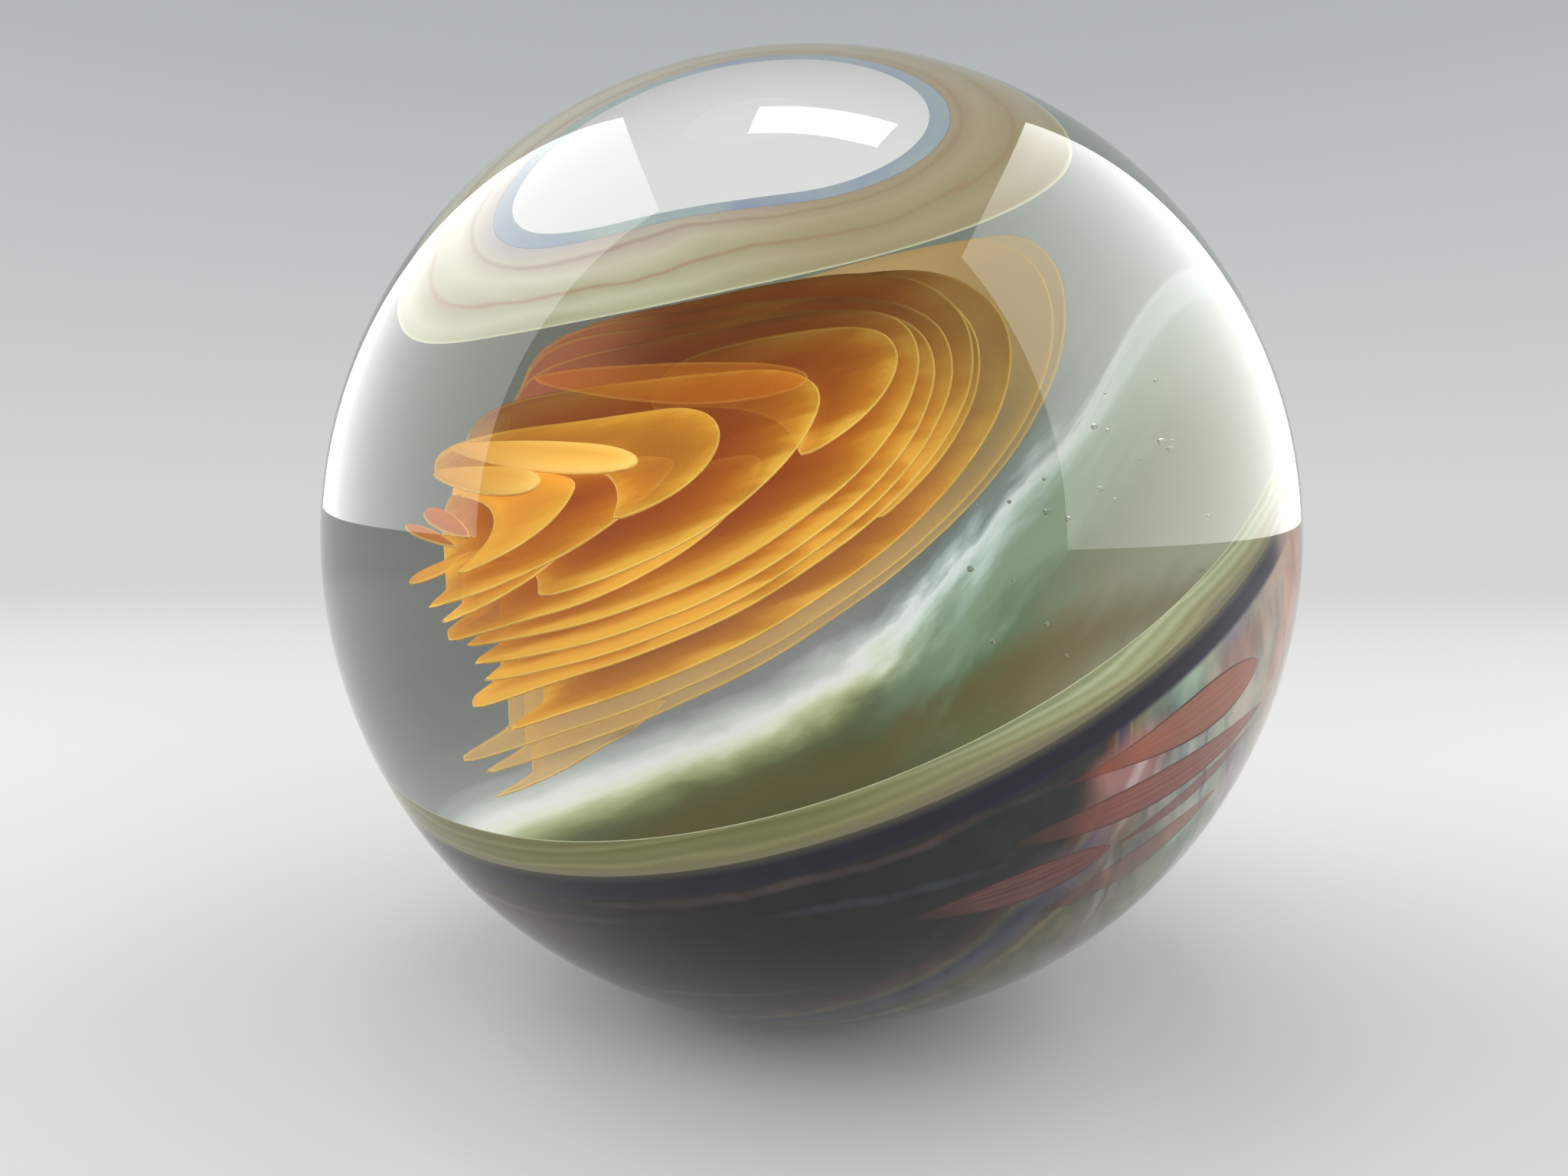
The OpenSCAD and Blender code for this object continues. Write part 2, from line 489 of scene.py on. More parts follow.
SILVER_PATH = (
    (40, 20), (58, -12), (67, -24), (75, -29.3), (81, -33.6), (90, -38.6), (100, -41.3), (110, -42.2),
    (120, -41.6), (130, -39.4), (138, -36.8), (145, -33.5), (152, -28), (165, -12), (180, 10),
)
BROWN_PATH = (
    (40, -36), (62, -42.5), (75, -46.4), (90, -50.2), (107, -51.5), (122, -48.9), (134, -46.3), (150, -42),
    (180, -30),
)
# The wall's colours by rise above the silver streak. The white core is the silver fume whitened with painted
# light, standing for the glow of light shining through the thin fume.
WALL_RIGHT = (
    (-60, "#6A6236"), (-26, "#6E6E40"), (-21, "#72643A"), (-17, "#646A3C"), (-12, "#5C7450"),
    (-8, "#869E7E"), (-5, "#8EA68C"), (-3, "#A8BEAE"), (-1.4, "#D4E8E0"), (0, "#FBFFFF"), (0.9, "#C4D2D2"),
    (2.2, "#8C9896"), (5, "#78807A"), (11, "#828888"), (40, "#98A094"),
)
WALL_LEFT = (
    (-60, "#5C5E32"), (-25, "#605A36"), (-16, "#4C4C28"), (-11.5, "#4C5028"), (-8, "#42562C"),
    (-5.5, "#58643E"), (-4, "#7E885A"), (-2.4, "#C6CC9C"), (-1.2, "#F8FCE8"), (0, "#FFFFFF"),
    (1.6, "#D2D8D4"), (4, "#98999A"), (9, "#868A8A"), (16, "#7C8080"), (40, "#84867F"),
)


@dataclass(frozen=True)
class FumedWallGlass(Finish):
    """Silver-fumed glass seen from inside the bowl: a cloudy silver streak between grey and mossy green, its
    white core partly painted light for the glow of light shining through the thin fume.

    Args:
        pale_end: Colour of the wall's right end, low down.
        pale_top: Colour of the wall's right end under the lip.
        brown: Colour of the thin stripe below the streak.
    """

    name: str = "silver_fumed_glass"
    pale_end: str = "#B4B8A4"
    pale_top: str = "#E2E6E0"
    brown: str = "#6A5426"

    def surface(self, tree: Tree) -> Node:
        """Add the wall's colours, which follow the streak's path.

        Args:
            tree: The shader tree.

        Returns:
            The node that gives its shader.
        """
        place = coordinates(tree)
        level = follow(tree, place.turn, SILVER_PATH)
        above = add(tree, MATH, (place.rise, level), operation="SUBTRACT")
        drawn = add(tree, JOIN, {0: place.turn, 1: above})
        drawn = add(tree, VECTOR_MATH, (drawn, (0.11, 0.34, 1.0)), operation="MULTIPLY")
        cloud = add(tree, NOISE, {"Vector": drawn, "Scale": 1.0, "Detail": 5.0})
        centred = add(tree, MATH, (cloud, 0.5), operation="SUBTRACT")
        sway = temper(tree, centred, ("MULTIPLY", place.turn, 88.0, 108.0, 9.0, 3.0))
        along = add(tree, JOIN, {0: place.turn, 1: place.rise})
        along = add(tree, VECTOR_MATH, (along, (0.022, 0.1, 1.0)), operation="MULTIPLY")
        broad = add(tree, NOISE, {"Vector": along, "Scale": 1.0, "Detail": 3.0})
        wide = add(tree, MATH, (broad, 0.5), operation="SUBTRACT")
        low = add(tree, RANGE, (above, -14.0, -4.0, 16.0, 0.0), **SOFT)
        wide = add(tree, MATH, (wide, low, sway), operation="MULTIPLY_ADD")
        swayed = add(tree, MATH, (above, wide), operation="ADD")
        end = lay(tree, self.pale_end, (place.rise, -28.0, -12.0, 0.0, 0.75, self.pale_top))
        stripe_at = follow(tree, place.turn, BROWN_PATH)
        off = add(tree, MATH, (place.rise, stripe_at), operation="SUBTRACT")
        off = add(tree, MATH, (centred, 5.0, off), operation="MULTIPLY_ADD")
        off = add(tree, MATH, (off,), operation="ABSOLUTE")
        # The white core of the wall ramps is partly painted glow.
        colour = lay(
            tree,
            ramp_over(tree, swayed, WALL_RIGHT),
            (place.turn, 80.0, 106.0, ramp_over(tree, swayed, WALL_LEFT)),
            (place.turn, 84.0, 46.0, 0.0, 0.85, end),
            (off, 0.0, 5.0, 0.6, 0.0, self.brown),
        )
        return add(tree, PRINCIPLED, {"Base Color": colour, **SEALED})


NEAR_LIP = (
    (20.4, "#66633A"), (21.2, "#5A5834"), (21.6, "#6F6C44"), (21.9, "#58562F"), (22.4, "#66623C"),
    (22.9, "#5E5C38"), (23.2, "#726D48"), (23.6, "#645E3E"), (24.0, "#6C6444"), (24.8, "#6A6044"),
)
RIGHT_LIP = (
    (20.4, "#8E936C"), (21.2, "#7E845E"), (21.5, "#A2A684"), (21.8, "#868A64"), (22.3, "#989B76"),
    (22.8, "#7C7852"), (23.3, "#8A8460"), (23.8, "#726C50"), (24.8, "#7E7760"),
)
FAR_LIP = (
    (20.4, "#A8A68C"), (21.2, "#9E9C80"), (21.7, "#B2AE96"), (22.2, "#A29C82"), (22.32, "#9C8068"),
    (22.42, "#A49E84"), (23.0, "#B8B29C"), (23.32, "#ACA092"), (23.42, "#9C8A80"), (23.54, "#B0A698"),
    (24.0, "#9C9496"), (24.3, "#B4AA9E"), (24.8, "#C0B8AA"),
)


@dataclass(frozen=True)
class LipGlass(Finish):
    """The bowl's cut edge: stacked layers of fumed and clear glass, drawn out into fine rings.

    Args:
        bright_edge: Colour of the thin line where the lip meets the wall.
        far_brown: Colour that the far side takes up.
        wobble: Size of the rings' waves, in millimetres.
        sway: How far the rings move in and out, in millimetres.
    """

    name: str = "layered_fumed_lip"
    bright_edge: str = "#C8C8A8"
    far_brown: str = "#86744E"
    wobble: float = 6.25
    sway: float = 1.6

    def surface(self, tree: Tree) -> Node:
        """Add rings that differ at the near, right and far side.

        Args:
            tree: The shader tree.

        Returns:
            The node that gives its shader.
        """
        place = coordinates(tree)
        stretched = add(tree, VECTOR_MATH, (place.place, (0.35, 1.0, 1.0)), operation="MULTIPLY")
        wobble = add(tree, NOISE, {"Vector": stretched, "Scale": 1 / self.wobble, "Detail": 4.0})
        shift = add(tree, RANGE, {"Value": wobble, "To Min": -self.sway, "To Max": self.sway})
        ring = add(tree, MATH, (place.distance, shift), operation="ADD")
        near, right, far = (ramp_over(tree, ring, stops) for stops in (NEAR_LIP, RIGHT_LIP, FAR_LIP))
        far = lay(tree, far, (place.across, -8.0, 3.0, 0.0, 0.68, self.far_brown))
        colour = lay(
            tree,
            near,
            (place.across, -2.0, 14.0, right),
            (place.along, -5.0, 10.0, far),
            (place.distance, 21.02, 21.12, 0.55, 0.0, self.bright_edge),
        )
        return add(tree, PRINCIPLED, {"Base Color": colour, **SEALED})


BORDER = (
    (-180, -30), (-130, -27), (-110, -24), (-100, -22), (-90, -19), (-80, -15.5), (-73, -11.5), (-68, -7.5),
    (-64, -3), (-61, 3), (-57, 15), (0, 15), (30, 8), (50, -3), (75, -12), (100, -19), (130, -25),
    (180, -30),
)
STREAKS = (
    (-90, "#84866A"), (-60, "#989E7E"), (-40, "#A8B69C"), (-26, "#ACBEAE"), (-19, "#A2AA94"),
    (-14, "#8E8A6A"), (-11, "#6E6844"), (-9.6, "#9C9060"), (-8.8, "#64503C"), (-6.5, "#54566A"),
    (-4.6, "#343C5C"), (-3.2, "#807852"), (-2.4, "#6A4A36"), (-1.0, "#5A3626"), (0.4, "#16120E"),
    (3, "#0A0C08"), (10, "#0B0C09"), (30, "#120F0B"),
)
AROUND = (
    (-180, "#2E231F"), (-140, "#2E231F"), (-112, "#1C1D12"), (-90, "#101511"), (-72, "#1B2826"),
    (-60, "#2A2A2A"), (60, "#241C18"), (100, "#14160F"), (150, "#2A211A"), (180, "#2E231F"),
)
MERIDIANS = (
    (-180, "#8A8A70"), (-100, "#6E6C4E"), (-80, "#7C7A5E"), (-70, "#A0948E"), (-64, "#B4A8A4"),
    (-60, "#8E8480"), (-56, "#5E6E6A"), (-53, "#9FB7A2"), (-49, "#BCC0A8"), (-45, "#9A96A6"),
    (-40, "#B4AC98"), (-33, "#C9A48E"), (-25, "#B88E78"), (-10, "#8FA095"), (10, "#A8A48C"),
    (30, "#8E7A70"), (50, "#6E7A66"), (90, "#5E6240"), (130, "#7A7658"), (180, "#8A8A70"),
)
BAND = (
    (-6, "#54384E"), (-1.6, "#3A2444"), (-0.8, "#120A32"), (-0.1, "#060222"), (0.9, "#080326"),
    (1.2, "#34303C"), (2.0, "#6A6448"),
)


@dataclass(frozen=True)
class Smear:
    """One soft smear of colour on the outside.

    Args:
        turn: Its middle's direction, in degrees.
        rise: Its middle's rise, in degrees.
        along: Half its length, in degrees.
        across: Half its width, in degrees.
        roll: Slope of its length against the lip, in degrees.
        colour: Its colour.
        share: How much of it covers what lies under it.
    """

    turn: float
    rise: float
    along: float
    across: float
    roll: float
    colour: str
    share: float

    def over(self, tree: Tree, at: Node, under: object) -> Node:
        """Lay the smear over what is under it.

        Args:
            tree: The shader tree.
            at: The direction and rise to read, in degrees.
            under: The colour that it lies on.

        Returns:
            The node that gives the mix.
        """
        given = {
            "Vector": at,
            "Location": (self.turn, self.rise, 0),
            "Rotation": (0, 0, math.radians(self.roll)),
            "Scale": (self.along, self.across, 1),
        }
        local = add(tree, MAPPING, given, vector_type="TEXTURE")
        away = add(tree, VECTOR_MATH, (local,), operation="LENGTH").outputs["Value"]
        return lay(tree, under, (away, 0.25, 1.1, self.share, 0.0, self.colour))


SMEARS = (
    Smear(-129.0, -17.0, 18.0, 6.0, 0.0, "#2A1812", 0.8),
    Smear(-130.0, -8.5, 15.0, 5.0, 12.0, "#4E2A1E", 0.8),
    Smear(-122.0, -5.0, 17.0, 0.9, 2.0, "#64503F", 0.7),
    Smear(-110.0, -18.5, 16.0, 0.8, 0.0, "#4E4634", 0.6),
    Smear(-104.0, -8.0, 14.0, 5.5, -4.0, "#0A1006", 0.9),
    Smear(-90.0, -13.5, 17.0, 6.5, -10.0, "#090B08", 0.95),
    Smear(-92.0, -2.0, 28.0, 0.8, 0.0, "#5E4C46", 0.8),
    Smear(-86.0, -6.8, 12.0, 0.8, -8.0, "#46525E", 0.6),
    Smear(-77.0, -27.0, 13.0, 6.0, 10.0, "#7C7C4C", 0.75),
    Smear(-60.0, -27.0, 9.0, 7.0, 0.0, "#A0A078", 0.7),
    Smear(-62.0, -33.0, 12.0, 4.0, 12.0, "#8A8458", 0.6),
    Smear(-70.0, -14.0, 5.0, 6.0, 40.0, "#6E6470", 0.7),
    Smear(-60.0, -4.8, 7.0, 3.6, -10.0, "#C87870", 0.85),
    Smear(-54.0, -12.0, 5.0, 8.0, 0.0, "#CFC4C2", 0.7),
    Smear(-45.0, -11.0, 5.0, 8.0, 10.0, "#E0CDB4", 0.75),
    Smear(-55.0, -18.5, 3.0, 7.0, -8.0, "#AED0B4", 0.85),
    Smear(-49.5, -13.5, 2.6, 6.0, -8.0, "#C2DAC0", 0.8),
    Smear(-46.0, -21.0, 5.0, 5.0, 0.0, "#D4BFBC", 0.7),
    Smear(-32.0, -7.6, 13.0, 3.8, 45.0, "#DE9474", 0.9),
    Smear(-44.0, -5.0, 8.0, 3.5, 0.0, "#C07A62", 0.6),
    Smear(-62.0, -8.0, 6.5, 6.5, 0.0, "#C08A86", 0.8),
    Smear(-66.0, -15.0, 6.0, 5.0, 20.0, "#8A7276", 0.6),
    Smear(-55.0, -17.0, 6.0, 6.5, 0.0, "#D6D0C0", 0.8),
    Smear(-60.0, -27.0, 7.0, 5.0, 10.0, "#B4B294", 0.7),
    Smear(-54.4, -11.0, 9.0, 0.9, 92.0, "#6C7C8C", 0.55),
    Smear(-57.8, -10.0, 8.0, 1.0, 80.0, "#E6BAB4", 0.6),
    Smear(-61.0, -7.5, 7.0, 1.1, 62.0, "#E4D0D0", 0.6),
    Smear(-66.0, -21.0, 7.5, 0.7, 72.0, "#D8CCCC", 0.6),
    Smear(-64.6, -21.0, 7.5, 0.5, 72.0, "#40383C", 0.6),
    Smear(-51.6, -14.0, 8.0, 0.5, 86.0, "#8A7C98", 0.7),
    Smear(-47.4, -15.0, 9.0, 0.5, 98.0, "#B88A94", 0.7),
)


@dataclass(frozen=True)
class BackingGlass(Finish):
    """Cobalt and smoke glass laid over fume and drawn down: an indigo line under the lip, streaks below it.

    Args:
        pearl: Colour of the far side's band.
        pearl_blue: Colour of the clouds in it.
        waves: Sizes of the streaks' waves and of the smears', in millimetres.
        sways: How far each moves them, in degrees.
    """

    name: str = "indigo_over_smoke_glass"
    pearl: str = "#98A49C"
    pearl_blue: str = "#8086A0"
    waves: Point2 = (100 / 11, 50 / 11)
    sways: Point2 = (5.0, 3.0)

    def surface(self, tree: Tree) -> Node:
        """Add the streaks, the smears on them and the band under the lip.

        Args:
            tree: The shader tree.

        Returns:
            The node that gives its shader.
        """
        place = coordinates(tree)
        noise = {"Vector": place.place, "Detail": 3.0}
        noises = [add(tree, NOISE, {"Scale": 1 / size, **noise}) for size in self.waves]
        sway, bent = (
            add(tree, RANGE, {"Value": wave, "To Min": -reach, "To Max": reach})
            for wave, reach in zip(noises, self.sways)
        )
        above = add(tree, MATH, (place.rise, follow(tree, place.turn, BORDER)), operation="SUBTRACT")
        swayed = add(tree, MATH, (above, sway), operation="ADD")
        turn_swayed = add(tree, MATH, (place.turn, sway), operation="ADD")
        body = lay(
            tree,
            ramp_over(tree, swayed, STREAKS),
            (swayed, -1.0, 1.5, ramp_over(tree, turn_swayed, AROUND)),
            (swayed, -12.0, -20.0, ramp_over(tree, turn_swayed, MERIDIANS)),
        )
        spot_turn = add(tree, MATH, (place.turn, bent), operation="ADD")
        spot_rise = add(tree, MATH, (bent, -0.5, place.rise), operation="MULTIPLY_ADD")
        spot_at = add(tree, JOIN, {0: spot_turn, 1: spot_rise})
        for smear in SMEARS:
            body = smear.over(tree, spot_at, body)
        drawn = add(tree, MATH, (place.turn, 1 / DEGREES), operation="MULTIPLY")
        cosine, sine = (add(tree, MATH, (drawn,), operation=name) for name in ("COSINE", "SINE"))
        low = add(tree, MATH, (place.rise, 0.01), operation="MULTIPLY")
        line_at = add(tree, JOIN, (cosine, sine, low))
        fine = add(tree, NOISE, {"Vector": line_at, "Scale": 16.0, "Detail": 4.0})
        lines = add(tree, RANGE, (fine, 0.3, 0.7, 0.72, 1.28), **SOFT)
        tone = add(tree, JOIN, (lines,) * 3)
        body = add(tree, MIX, (1.0, body, tone), blend_type="MULTIPLY", **COLOUR)
        far = add(tree, RANGE, (place.along, -2.0, 8.0), **SOFT)
        pearl = lay(tree, self.pearl, (noises[1], 0.3, 0.7, self.pearl_blue))
        band = add(tree, MIX, (far, ramp_over(tree, place.rise, BAND), pearl), **COLOUR)
        cover = add(tree, RANGE, (place.rise, -1.5, -0.7), **SOFT)
        cover = temper(tree, cover, ("MULTIPLY", place.turn, -36.0, -29.0, 1.0, 0.0))
        cover = add(tree, MATH, (cover, far), operation="MAXIMUM")
        cover = temper(tree, cover, ("MULTIPLY", place.rise, -7.0, -3.0))
        colour = add(tree, MIX, (cover, body, band), **COLOUR)
        return add(tree, PRINCIPLED, {"Base Color": colour, **SEALED})


LEAF_TONES = (
    (0, "#C4765A"), (1, "#A8605A"), (2, "#8E4850"), (3, "#A88490"), (4, "#C8B4A8"),
)


@dataclass(frozen=True)
class RibbonGlass(Finish):
    """Rose glass stringer melted flat: a translucent leaf with a dark drawn-out edge.

    Args:
        edge: Colour of its edge.
        vein: Colour of the lines drawn along it.
        see_through: What it lets through.
        wave: Size of its lines' waves, in millimetres.
    """

    name: str = "rose_stringer_glass"
    edge: str = "#4A1E1C"
    vein: str = "#D8967C"
    see_through: str = "#E8B4A4"
    wave: float = 20 / 7

    def surface(self, tree: Tree) -> Node:
        """Add the leaf's colours and how much it covers from end to end.

        Args:
            tree: The shader tree.

        Returns:
            The node that gives its shader.
        """
        names = ("edge_share", "leaf_tone", "leaf_side", "leaf_end")
        rim, tone, side, end = (add(tree, ATTRIBUTE, attribute_name=name).outputs["Fac"] for name in names)
        drawn = add(tree, NOISE, {"Vector": coordinates(tree).place, "Scale": 1 / self.wave, "Detail": 4.0})
        lined = add(tree, MATH, (side, 2.2, drawn), operation="MULTIPLY_ADD")
        wave = add(tree, NOISE, {"W": lined, "Scale": 4.0, "Detail": 2.0}, noise_dimensions="1D")
        body = lay(tree, ramp_over(tree, tone, LEAF_TONES), (wave, 0.42, 0.62, 0.0, 0.55, self.vein))
        dark = add(tree, RANGE, (rim, 0.86, 0.97), **SOFT)
        colour = add(tree, MIX, (dark, body, self.edge), **COLOUR)
        cover = temper(
            tree,
            add(tree, RANGE, (tone, 1.5, 4.0, 0.55, 0.22), **SOFT),
            ("ADD", dark, 0.0, 1.0, 0.0, 0.4),
            ("MULTIPLY", end, -1.0, -0.1, 0.15, 1.0),
        )
        clear = add(tree, TRANSPARENT, (self.see_through,))
        return add(tree, MIX_SHADER, (cover, clear, add(tree, PRINCIPLED, {"Base Color": colour, **SEALED})))


@dataclass(frozen=True)
class BubbleAir(Finish):
    """Air caught in the glass: a small bubble that bends light the other way.

    Args:
        ior: Index of refraction of air against the glass.
        clear: Colour of its brightest parts.
        tinge: Colour of the rest.
        cloud: Size of its clouds, in millimetres.
    """

    name: str = "trapped_air"
    ior: float = 1 / 1.47
    clear: str = "#FFFFFF"
    tinge: str = "#E8F0F0"
    cloud: float = 0.5

    def surface(self, tree: Tree) -> Node:
        """Add a skin that bends light and casts no shadow.

        Args:
            tree: The shader tree.

        Returns:
            The node that gives its shader.
        """
        grey = add(tree, NOISE, {"Vector": coordinates(tree).place, "Scale": 1 / self.cloud})
        tint = lay(tree, self.clear, (grey, 0.3, 0.7, self.tinge))
        glass = add(tree, "ShaderNodeBsdfGlass", {"Color": tint, "Roughness": 0.0, "IOR": self.ior})
        clear = add(tree, TRANSPARENT, (self.clear,))
        return add(tree, MIX_SHADER, (add(tree, LIGHT_PATH).outputs["Is Shadow Ray"], glass, clear))


@dataclass(frozen=True)
class MattPaper(Finish):
    """Matt paper that fades into the backdrop further out.

    Args:
        paper: Colour of the paper.
        horizon: Colour that it fades to.
    """

    name: str = "matt_paper"
    paper: str = "#A2A2A0"
    horizon: str = "#D4D5D4"

    def surface(self, tree: Tree) -> Node:
        """Add the paper, and light of the backdrop's colour where it is far off.

        Args:
            tree: The shader tree.

        Returns:
            The node that gives its shader.
        """
        given = {"Base Color": self.paper, "Roughness": 0.8, "Specular IOR Level": 0.1}
        solid = add(tree, PRINCIPLED, given)
        away = add(tree, VECTOR_MATH, (add(tree, PLACE).outputs["Object"],), operation="LENGTH")
        fade = add(tree, RANGE, (away.outputs["Value"], 0.06, 0.45), **SOFT)
        share = add(tree, MATH, (fade, seen(tree)), operation="MULTIPLY")
        return add(tree, MIX_SHADER, (share, solid, add(tree, "ShaderNodeEmission", (self.horizon, 1.0))))


def direction(turn: float, rise: float) -> Vector:
    """Return the unit vector at a turn and a rise, both in degrees."""
    a, e = math.radians(turn), math.radians(rise)
    return Vector((math.cos(e) * math.cos(a), math.cos(e) * math.sin(a), math.sin(e)))


def new_object(name: str, mesh: Mesh) -> Piece:
    """Link a smooth-shaded mesh to the scene as an object at the origin.

    Args:
        name: The object's name.
        mesh: Its mesh.

    Returns:
        The object.
    """
    mesh.shade_smooth()
    piece = bpy.data.objects.new(name, mesh)
    bpy.context.scene.collection.objects.link(piece)
    return piece


def from_bmesh(name: str, work: Work) -> Mesh:
    """Turn finished work into a mesh whose faces point outwards.

    Args:
        name: The mesh's name.
        work: Its closed faces, which are freed.

    Returns:
        The mesh.
    """
    bmesh.ops.recalc_face_normals(work, faces=work.faces)
    mesh = bpy.data.meshes.new(name)
    work.to_mesh(mesh)
    work.free()
    return mesh


def enlist(piece: Piece, slot: str, *nodes: str) -> None:
    """Make a finished piece ride on the marble and stand for CAD nodes.

    Args:
        piece: The piece.
        slot: Its slot. Not used.
        nodes: The CAD nodes that it stands for.
    """
    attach(piece, BODY)
    if nodes:
        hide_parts(*nodes)
    LOG.info("%s: %d faces", piece.name, len(piece.data.polygons))


def dress(name: str, slot: str, node: str, work: Work, *finishes: Finish) -> Piece:
    """Turn work in the pattern's frame into a finished piece with sharp edges.

    Args:
        name: The piece's name.
        slot: Its slot.
        node: The CAD node that it stands for.
        work: Its closed faces.
        finishes: Its finishes, in the order of the faces' material numbers.

    Returns:
        The piece.
    """
    mesh = from_bmesh(node, work)
    PATTERN.settle(mesh)
    piece = new_object(name, mesh)
    for finish in finishes:
        mesh.materials.append(finish.make())
    mesh.set_sharp_from_angle(angle=SHARP)
    enlist(piece, slot, node)
    return piece


def geometry_tree(name: str, **inputs: str) -> tuple[Tree, bpy.types.bpy_prop_collection]:
    """Start a geometry tree with named inputs.

    Args:
        name: The tree's name.
        inputs: The kind of each input's socket, by its name with _ for a space.

    Returns:
        The tree and the sockets that give its inputs.
    """
    tree = bpy.data.node_groups.new(name, "GeometryNodeTree")
    for label, kind in (("Geometry", "Geometry"), *inputs.items(), ("Material", "Material")):
        label = label.replace("_", " ")
        tree.interface.new_socket(label, in_out="INPUT", socket_type="NodeSocket" + kind)
    tree.interface.new_socket("Geometry", in_out="OUTPUT", socket_type="NodeSocketGeometry")
    return tree, add(tree, "NodeGroupInput").outputs


def close_tree(tree: Tree, shape: Node, material: bpy.types.NodeSocket) -> Tree:
    """End a geometry tree with real, painted faces.

    Args:
        tree: The geometry tree.
        shape: The node that gives the shape.
        material: The socket that gives its material.

    Returns:
        The tree.
    """
    real = add(tree, "GeometryNodeRealizeInstances", {0: shape})
    painted = add(tree, "GeometryNodeSetMaterial", {"Geometry": real, "Material": material})
    add(tree, "NodeGroupOutput", {0: painted})
    return tree


def grow(piece: Piece, tree: Tree, **values: object) -> None:
    """Run a geometry tree on an object and keep the faces that it makes.

    Args:
        piece: The object, in the pattern's millimetres.
        tree: The geometry tree.
        values: Its inputs' values, by their names with _ for a space.
    """
    modifier = piece.modifiers.new(tree.name, "NODES")
    modifier.node_group = tree
    for item in tree.interface.items_tree:
        value = values.get(item.name.replace(" ", "_"))
        if item.in_out == "INPUT" and value is not None:
            modifier[item.identifier] = value
    graph = bpy.context.evaluated_depsgraph_get()
    mesh = bpy.data.meshes.new_from_object(piece.evaluated_get(graph))
    piece.modifiers.clear()
    piece.data = mesh
    PATTERN.settle(mesh)
    mesh.shade_smooth()


def arc(radius: float, start: float, end: float, steps: int, lift: float = 0.0) -> list[Point2]:
    """Return points of radius and height along an arc about the axis.

    Args:
        radius: The arc's radius.
        start: Its first angle above the ball's centre plane, in radians.
        end: Its last angle.
        steps: How many pieces it has.
        lift: Height of its centre.

    Returns:
        The arc's points, where a point at a pole lies on the axis.
    """
    points = []
    for i in range(steps + 1):
        angle = start + (end - start) * i / steps
        across = radius * math.cos(angle)
        points.append((across if across > TINY else 0.0, lift + radius * math.sin(angle)))
    return points


def lathe(profile_at: Callable[[float], Sequence[Point2]], segments: int, materials: Sequence[int]) -> Work:
    """Turn a profile about Z into a closed shell.

    Args:
        profile_at: Gives the points of radius and height at a direction in degrees, from one
            pole on the axis to the other, always as many.
        segments: Divisions round the axis.
        materials: Material number of each band between two points.

    Returns:
        The shell as unfinished work.
    """
    work = bmesh.new()
    columns: list[list[Vert]] = []
    for i in range(segments):
        turn = math.tau * i / segments
        column = []
        for n, (radius, height) in enumerate(profile_at(math.degrees(turn))):
            if radius < TINY and columns:
                column.append(columns[0][n])
            elif radius < TINY:
                column.append(work.verts.new((0, 0, height)))
            else:
                column.append(work.verts.new((radius * math.cos(turn), radius * math.sin(turn), height)))
        columns.append(column)
    for left, right in zip(columns, columns[1:] + columns[:1]):
        for band, number in enumerate(materials):
            corners = (left[band], right[band], right[band + 1], left[band + 1])
            work.faces.new(list(dict.fromkeys(corners))).material_index = number
    return work


def weave(work: Work, rows: Sequence[Sequence[Vert]], flip: bool = False) -> None:
    """Join rows of points by four-sided faces.

    Args:
        work: The mesh that holds the points.
        rows: The rows, all as long.
        flip: Whether the faces point the other way.
    """
    for row, after in zip(rows, rows[1:]):
        for j in range(len(row) - 1):
            corners = (row[j], row[j + 1], after[j + 1], after[j])
            work.faces.new((corners[0], *corners[:0:-1]) if flip else corners)


@dataclass
class ClearBall:
    """The clear ball that everything else sits in."""

    radius: float = RADII.ball
    subdivisions: int = 7
    finish: Finish = field(default_factory=ClearCrystal)

    def build(self) -> None:
        """Build and dress the ball."""
        work = bmesh.new()
        bmesh.ops.create_icosphere(work, subdivisions=self.subdivisions, radius=self.radius * MM)
        ball = new_object("clear_ball", from_bmesh("clear_ball", work))
        ball.data.materials.append(self.finish.make())
        enlist(ball, "clear_glass", "clear_glass")


@dataclass(frozen=True)
class Film:
    """One amber film: a round swept to the back left, cut off at the left where it keeps a small toe.

    Args:
        level: Its number from the top.
        reach: How far it reaches to the right, in millimetres.
        radius: Radius of its front edge.
        tip: Where its left end stands, across.
        toe: How far the tip stands out from the rest of its left end.
        back: Where its back edge is, 5 mm to the left of the axis.
        slope: Slope of its back edge.
        middle: A point well inside it. None takes one behind the tip.
        bite: Centre and radius of the round that is missing from it.
        front: How far its front edge stands in front of the axis. None takes the stack's own.
        stack: Radius of the round that the stack keeps to.
    """

    level: float
    reach: float
    radius: float
    tip: float
    toe: float
    back: float = 99.0
    slope: float = 0.0
    middle: Point2 | None = None
    bite: Point3 | None = None
    front: float | None = None
    stack: float = 16.2


